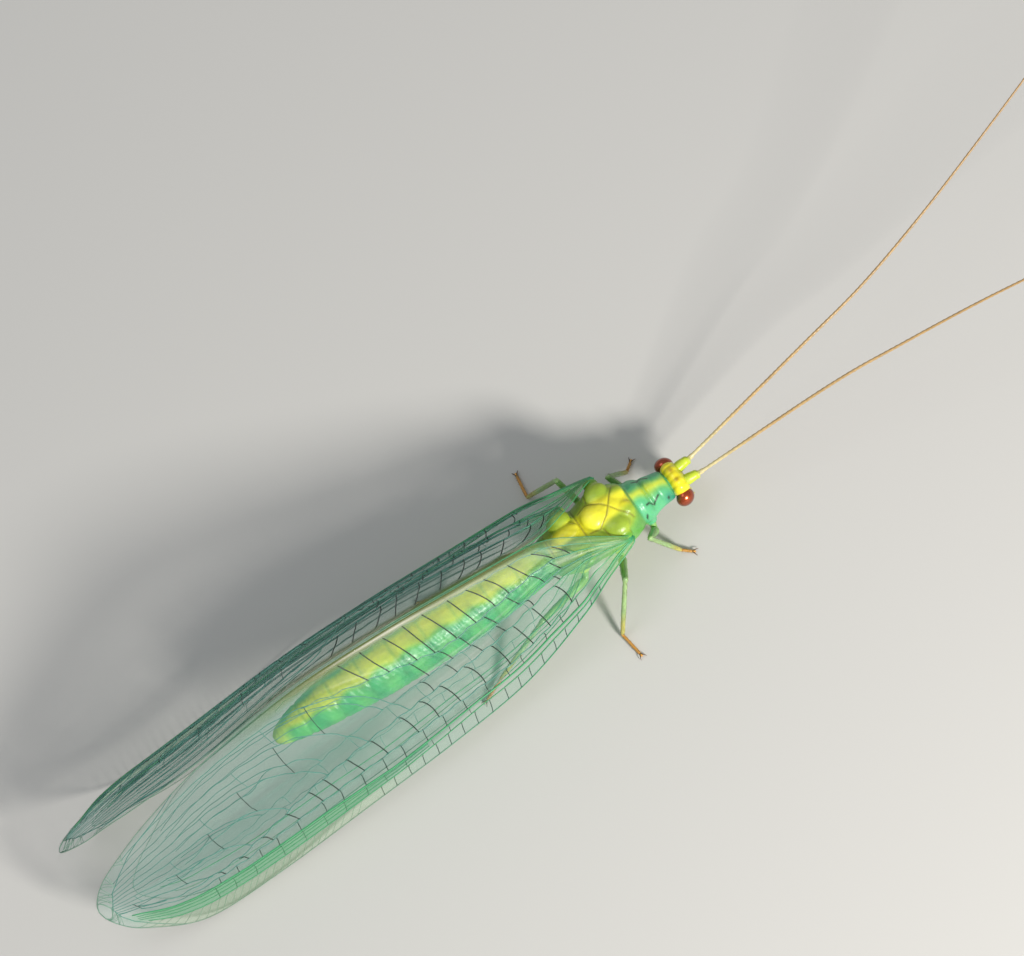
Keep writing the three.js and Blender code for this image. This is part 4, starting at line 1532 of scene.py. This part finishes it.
    def cross_veins(self) -> list[Vein]:
        """The cross veins in each field of the wing, mostly dark."""
        edge = tuple(1.0 for _ in self.knots_s)
        dark, pale, teal, size = VeinTone.DARK, VeinTone.PALE, VeinTone.TEAL, 0.018
        if self.bold:
            rows = ((self.costal_t, edge, (-1.0, -9.8, 18), -0.1, 0.75 * size, dark, 0.3),
                    (self.costal_t, edge, (-9.9, -16.9, 26), -0.5, 0.008, pale, 0.2),
                    (self.radius_t, self.costal_t, (-6.0, -15.6, 13), -0.05, 0.6 * size, dark),
                    (self.sector_t, self.radius_t, (-1.8, -15.2, 19), -0.05, 0.8 * size, dark),
                    (self.media_t, self.sector_t, (-2.2, -15.2, 16), 0.2, size, dark),
                    (self.middle_t, self.media_t, (-2.0, -7.8, 6), 0.15, 0.9 * size, dark),
                    (self.cubitus_t, self.middle_t, (-1.8, -7.6, 7), 0.2, 0.9 * size, dark),
                    (self.anal_t, self.cubitus_t, (-1.5, -8.9, 11), 0.38, size, dark, 0.4))
        else:
            rows = ((self.sector_t, self.radius_t, (-3.0, -13.0, 9), -0.05, 0.008, teal),
                    (self.media_t, self.sector_t, (-3.0, -13.0, 8), 0.1, 0.009, teal))
        return [vein for row in rows for vein in self.ladder(*row)]

    def vein_work(self, side: Side, bench: Workbench) -> bpy.types.Object:
        """All of the wing's veins with the hairs on them, as one mesh.

        Args:
            side: which side it lies on.
            bench: places it.

        Returns:
            The veins.
        """
        stock = MeshStock()
        rng = np.random.default_rng(self.seed + 40 + side.value)
        for vein in self.long_veins() + self.branch_veins() + self.cross_veins():
            line = vein.line
            path = self.point(line[:, 0], line[:, 1], self.thick / 2, side)
            share = np.linspace(0.0, 1.0, len(path))
            ends = vein.end_radius or vein.radius
            radii = vein.radius + (ends - vein.radius) * share
            last = np.array((vein.end_tone or vein.tone).value)
            first = np.array(vein.tone.value)
            shade = first + (last - first) * smooth(0.05, 0.35, share)[:, None]
            stock.add_tube(path, radii, 6, shade)
            above = self.point(line[:, 0], line[:, 1], self.thick / 2 - 1.0, side) - path
            run = float(np.linalg.norm(np.diff(path, axis=0), axis=1).sum())
            for _ in range(int(run * self.hairs_per_mm)):
                i = int(rng.integers(0, len(path) - 1))
                root = path[i] + (path[i + 1] - path[i]) * rng.uniform()
                out = above[i] + rng.normal(size=3) * 0.5
                out /= np.linalg.norm(out)
                tip = root + (out + np.array((-0.8, 0.0, 0.0))) * rng.uniform(0.03, 0.06)
                if tip[2] > 0.01 and root[2] > 0.01:
                    stock.add_hair(root, tip, 0.0035, self.hair_tint)
        finish = CuticleFinish(f"{self.name}_{side.word}_vein_cuticle", scatter=0.0).make()
        veins = stock.build(f"{self.name}_{side.word}_veins")
        return bench.place(veins, finish, "wing_membrane")

    def fringe(self, side: Side, bench: Workbench) -> bpy.types.Object:
        """The fine hairs along the wing's edges."""
        stock = MeshStock()
        rng = np.random.default_rng(self.seed + 80 + side.value)
        for t, inward in ((0.0, 0.06), (1.0, 0.94)):
            spots = np.linspace(0.04, 0.997, self.fringe_hairs)
            roots = self.point(spots, np.full_like(spots, t), self.thick / 2, side)
            inner = self.point(spots, np.full_like(spots, inward), self.thick / 2, side)
            for root, far in zip(roots, inner):
                out = root - far
                out /= max(np.linalg.norm(out), TINY)
                tip = root + (out + np.array((-0.8, 0, 0)) + rng.normal(size=3) * 0.15) * 0.06
                if tip[2] > 0.005 and root[2] > 0.005:
                    stock.add_hair(root, tip, 0.004, self.fringe_tint)
        finish = CuticleFinish(f"{self.name}_{side.word}_fringe_cuticle", scatter=0.0).make()
        fringe = stock.build(f"{self.name}_{side.word}_fringe")
        return bench.place(fringe, finish, "wing_membrane")

    def build(self, side: Side, bench: Workbench) -> None:
        """Makes every piece of the wing on one side."""
        self.membrane(side, bench)
        self.vein_work(side, bench)
        self.fringe(side, bench)


@dataclass(frozen=True)
class Lamp:
    """A soft round light that faces the insect, its direction given in the picture's axes."""

    name: str
    right: float
    up: float
    back: float
    reach: float
    size: float
    power: float
    colour: Colour


@dataclass
class Studio:
    """The floor, the lights and the camera at the photograph's angle."""

    heading: float = math.radians(34.8)
    tilt: float = math.radians(20.0)
    aim: Point = (-1.34, 2.91, 1.06)
    frame_width: float = 28.94
    distance: float = 260.0
    sensor: float = 36.0
    floor_half: float = 200.0
    floor_drop: float = 0.02
    lit: Point = (-4.0, 0.0, 1.5)
    lamps: tuple[Lamp, ...] = (
        Lamp("key", 0.8, -0.55, 1.15, 120.0, 24.0, 0.18, (1.0, 0.98, 0.94)),
        Lamp("fill", -0.7, 0.5, 1.2, 150.0, 90.0, 0.035, (0.9, 0.95, 1.0)))
    sky: Colour = (0.9, 0.94, 1.0)
    sky_strength: float = 0.34

    def axes(self) -> tuple[Vector, Vector, Vector]:
        """The picture's right, its up, and the way back to the camera."""
        along = Vector((1.0, 0.0, 0.0))
        beside = Vector((0.0, -math.cos(self.tilt), -math.sin(self.tilt)))
        right = along * math.cos(self.heading) + beside * math.sin(self.heading)
        up = along * math.sin(self.heading) - beside * math.cos(self.heading)
        return right, up, right.cross(up)

    def camera(self, bench: Workbench) -> None:
        """Adds the camera."""
        right, up, back = self.axes()
        place = bench.to_row(self.aim) + back * self.distance * MM
        data = bpy.data.cameras.new("camera")
        data.sensor_width = self.sensor
        data.lens = self.sensor * self.distance / self.frame_width
        data.clip_start, data.clip_end = 0.01, 10.0
        camera = bpy.data.objects.new("camera", data)
        turn = Matrix((right, up, back)).transposed().to_4x4()
        camera.matrix_world = Matrix.Translation(place) @ turn
        bpy.context.scene.collection.objects.link(camera)
        bpy.context.scene.camera = camera

    def light(self, bench: Workbench, lamp: Lamp) -> None:
        """Adds a soft light."""
        right, up, back = self.axes()
        data = bpy.data.lights.new(lamp.name, "AREA")
        data.shape = "DISK"
        data.size = lamp.size * MM
        data.energy = lamp.power
        data.color = lamp.colour
        piece = bpy.data.objects.new(lamp.name, data)
        direction = (right * lamp.right + up * lamp.up + back * lamp.back).normalized()
        place = bench.to_row(self.lit) + direction * lamp.reach * MM
        turn = direction.to_track_quat("Z", "Y").to_matrix().to_4x4()
        piece.matrix_world = Matrix.Translation(place) @ turn
        bpy.context.scene.collection.objects.link(piece)

    def lights(self, bench: Workbench) -> None:
        """Adds the key light from the picture's right, the soft fill and the sky."""
        for lamp in self.lamps:
            self.light(bench, lamp)
        world = bpy.data.worlds.new("studio")
        bpy.context.scene.world = world
        world.use_nodes = True
        background = world.node_tree.nodes["Background"]
        background.inputs["Color"].default_value = (*self.sky, 1.0)
        background.inputs["Strength"].default_value = self.sky_strength

    def floor(self) -> None:
        """Adds the pale floor under the feet."""
        deselect()
        bpy.ops.mesh.primitive_plane_add(size=2 * self.floor_half * MM,
                                         location=(0, 0, -self.floor_drop * MM))
        ground = bpy.context.object
        ground.name = "floor"
        ground.data.materials.append(FloorFinish().make())

    def build(self, bench: Workbench) -> None:
        """Sets the whole studio up."""
        self.camera(bench)
        self.lights(bench)
        self.floor()
        bpy.context.scene.view_settings.view_transform = "Standard"


LEGS = (
    Leg("foreleg", (1.2, 0.42, 0.84), (1.14, 0.66, 0.62), (0.88, 1.12, 1.58),
        (1.42, 1.42, 0.14), (1.66, 1.62, 0.065)),
    Leg("midleg", (0.0, 0.52, 0.8), (-0.08, 0.78, 0.58), (-0.36, 1.8, 1.88),
        (-1.3, 2.5, 0.14), (-1.2, 3.24, 0.065)),
    Leg("hindleg", (-1.1, 0.46, 0.86), (-1.24, 0.66, 0.62), (-2.95, 1.12, 1.02),
        (-4.8, 1.5, 0.14), (-5.5, 1.78, 0.065)),
)


def main() -> None:
    """Builds the lacewing's looks and its studio."""
    logging.basicConfig(level=logging.INFO, format="%(name)s: %(message)s")
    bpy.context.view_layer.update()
    bench = Workbench.from_frame()
    Trunk().build(bench)
    Head().build(bench)
    for side in Side:
        Antenna().build(side, bench)
        for leg in LEGS:
            leg.build(side, bench)
    shape = WingShape()
    forewing = Wing("forewing", shape)
    hindwing = Wing("hindwing", shape, span=(0.07, 0.935), chord=(0.03, 0.83), depth=0.2,
                    rows=110, columns=44, bold=False, tips=8, tip_t=(0.08, 0.72),
                    branch_span=(-8.0, -14.6), seed=9, cover=0.035)
    for side in Side:
        forewing.build(side, bench)
        hindwing.build(side, bench)
    Studio().build(bench)
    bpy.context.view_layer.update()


if __name__ == "__main__":
    main()
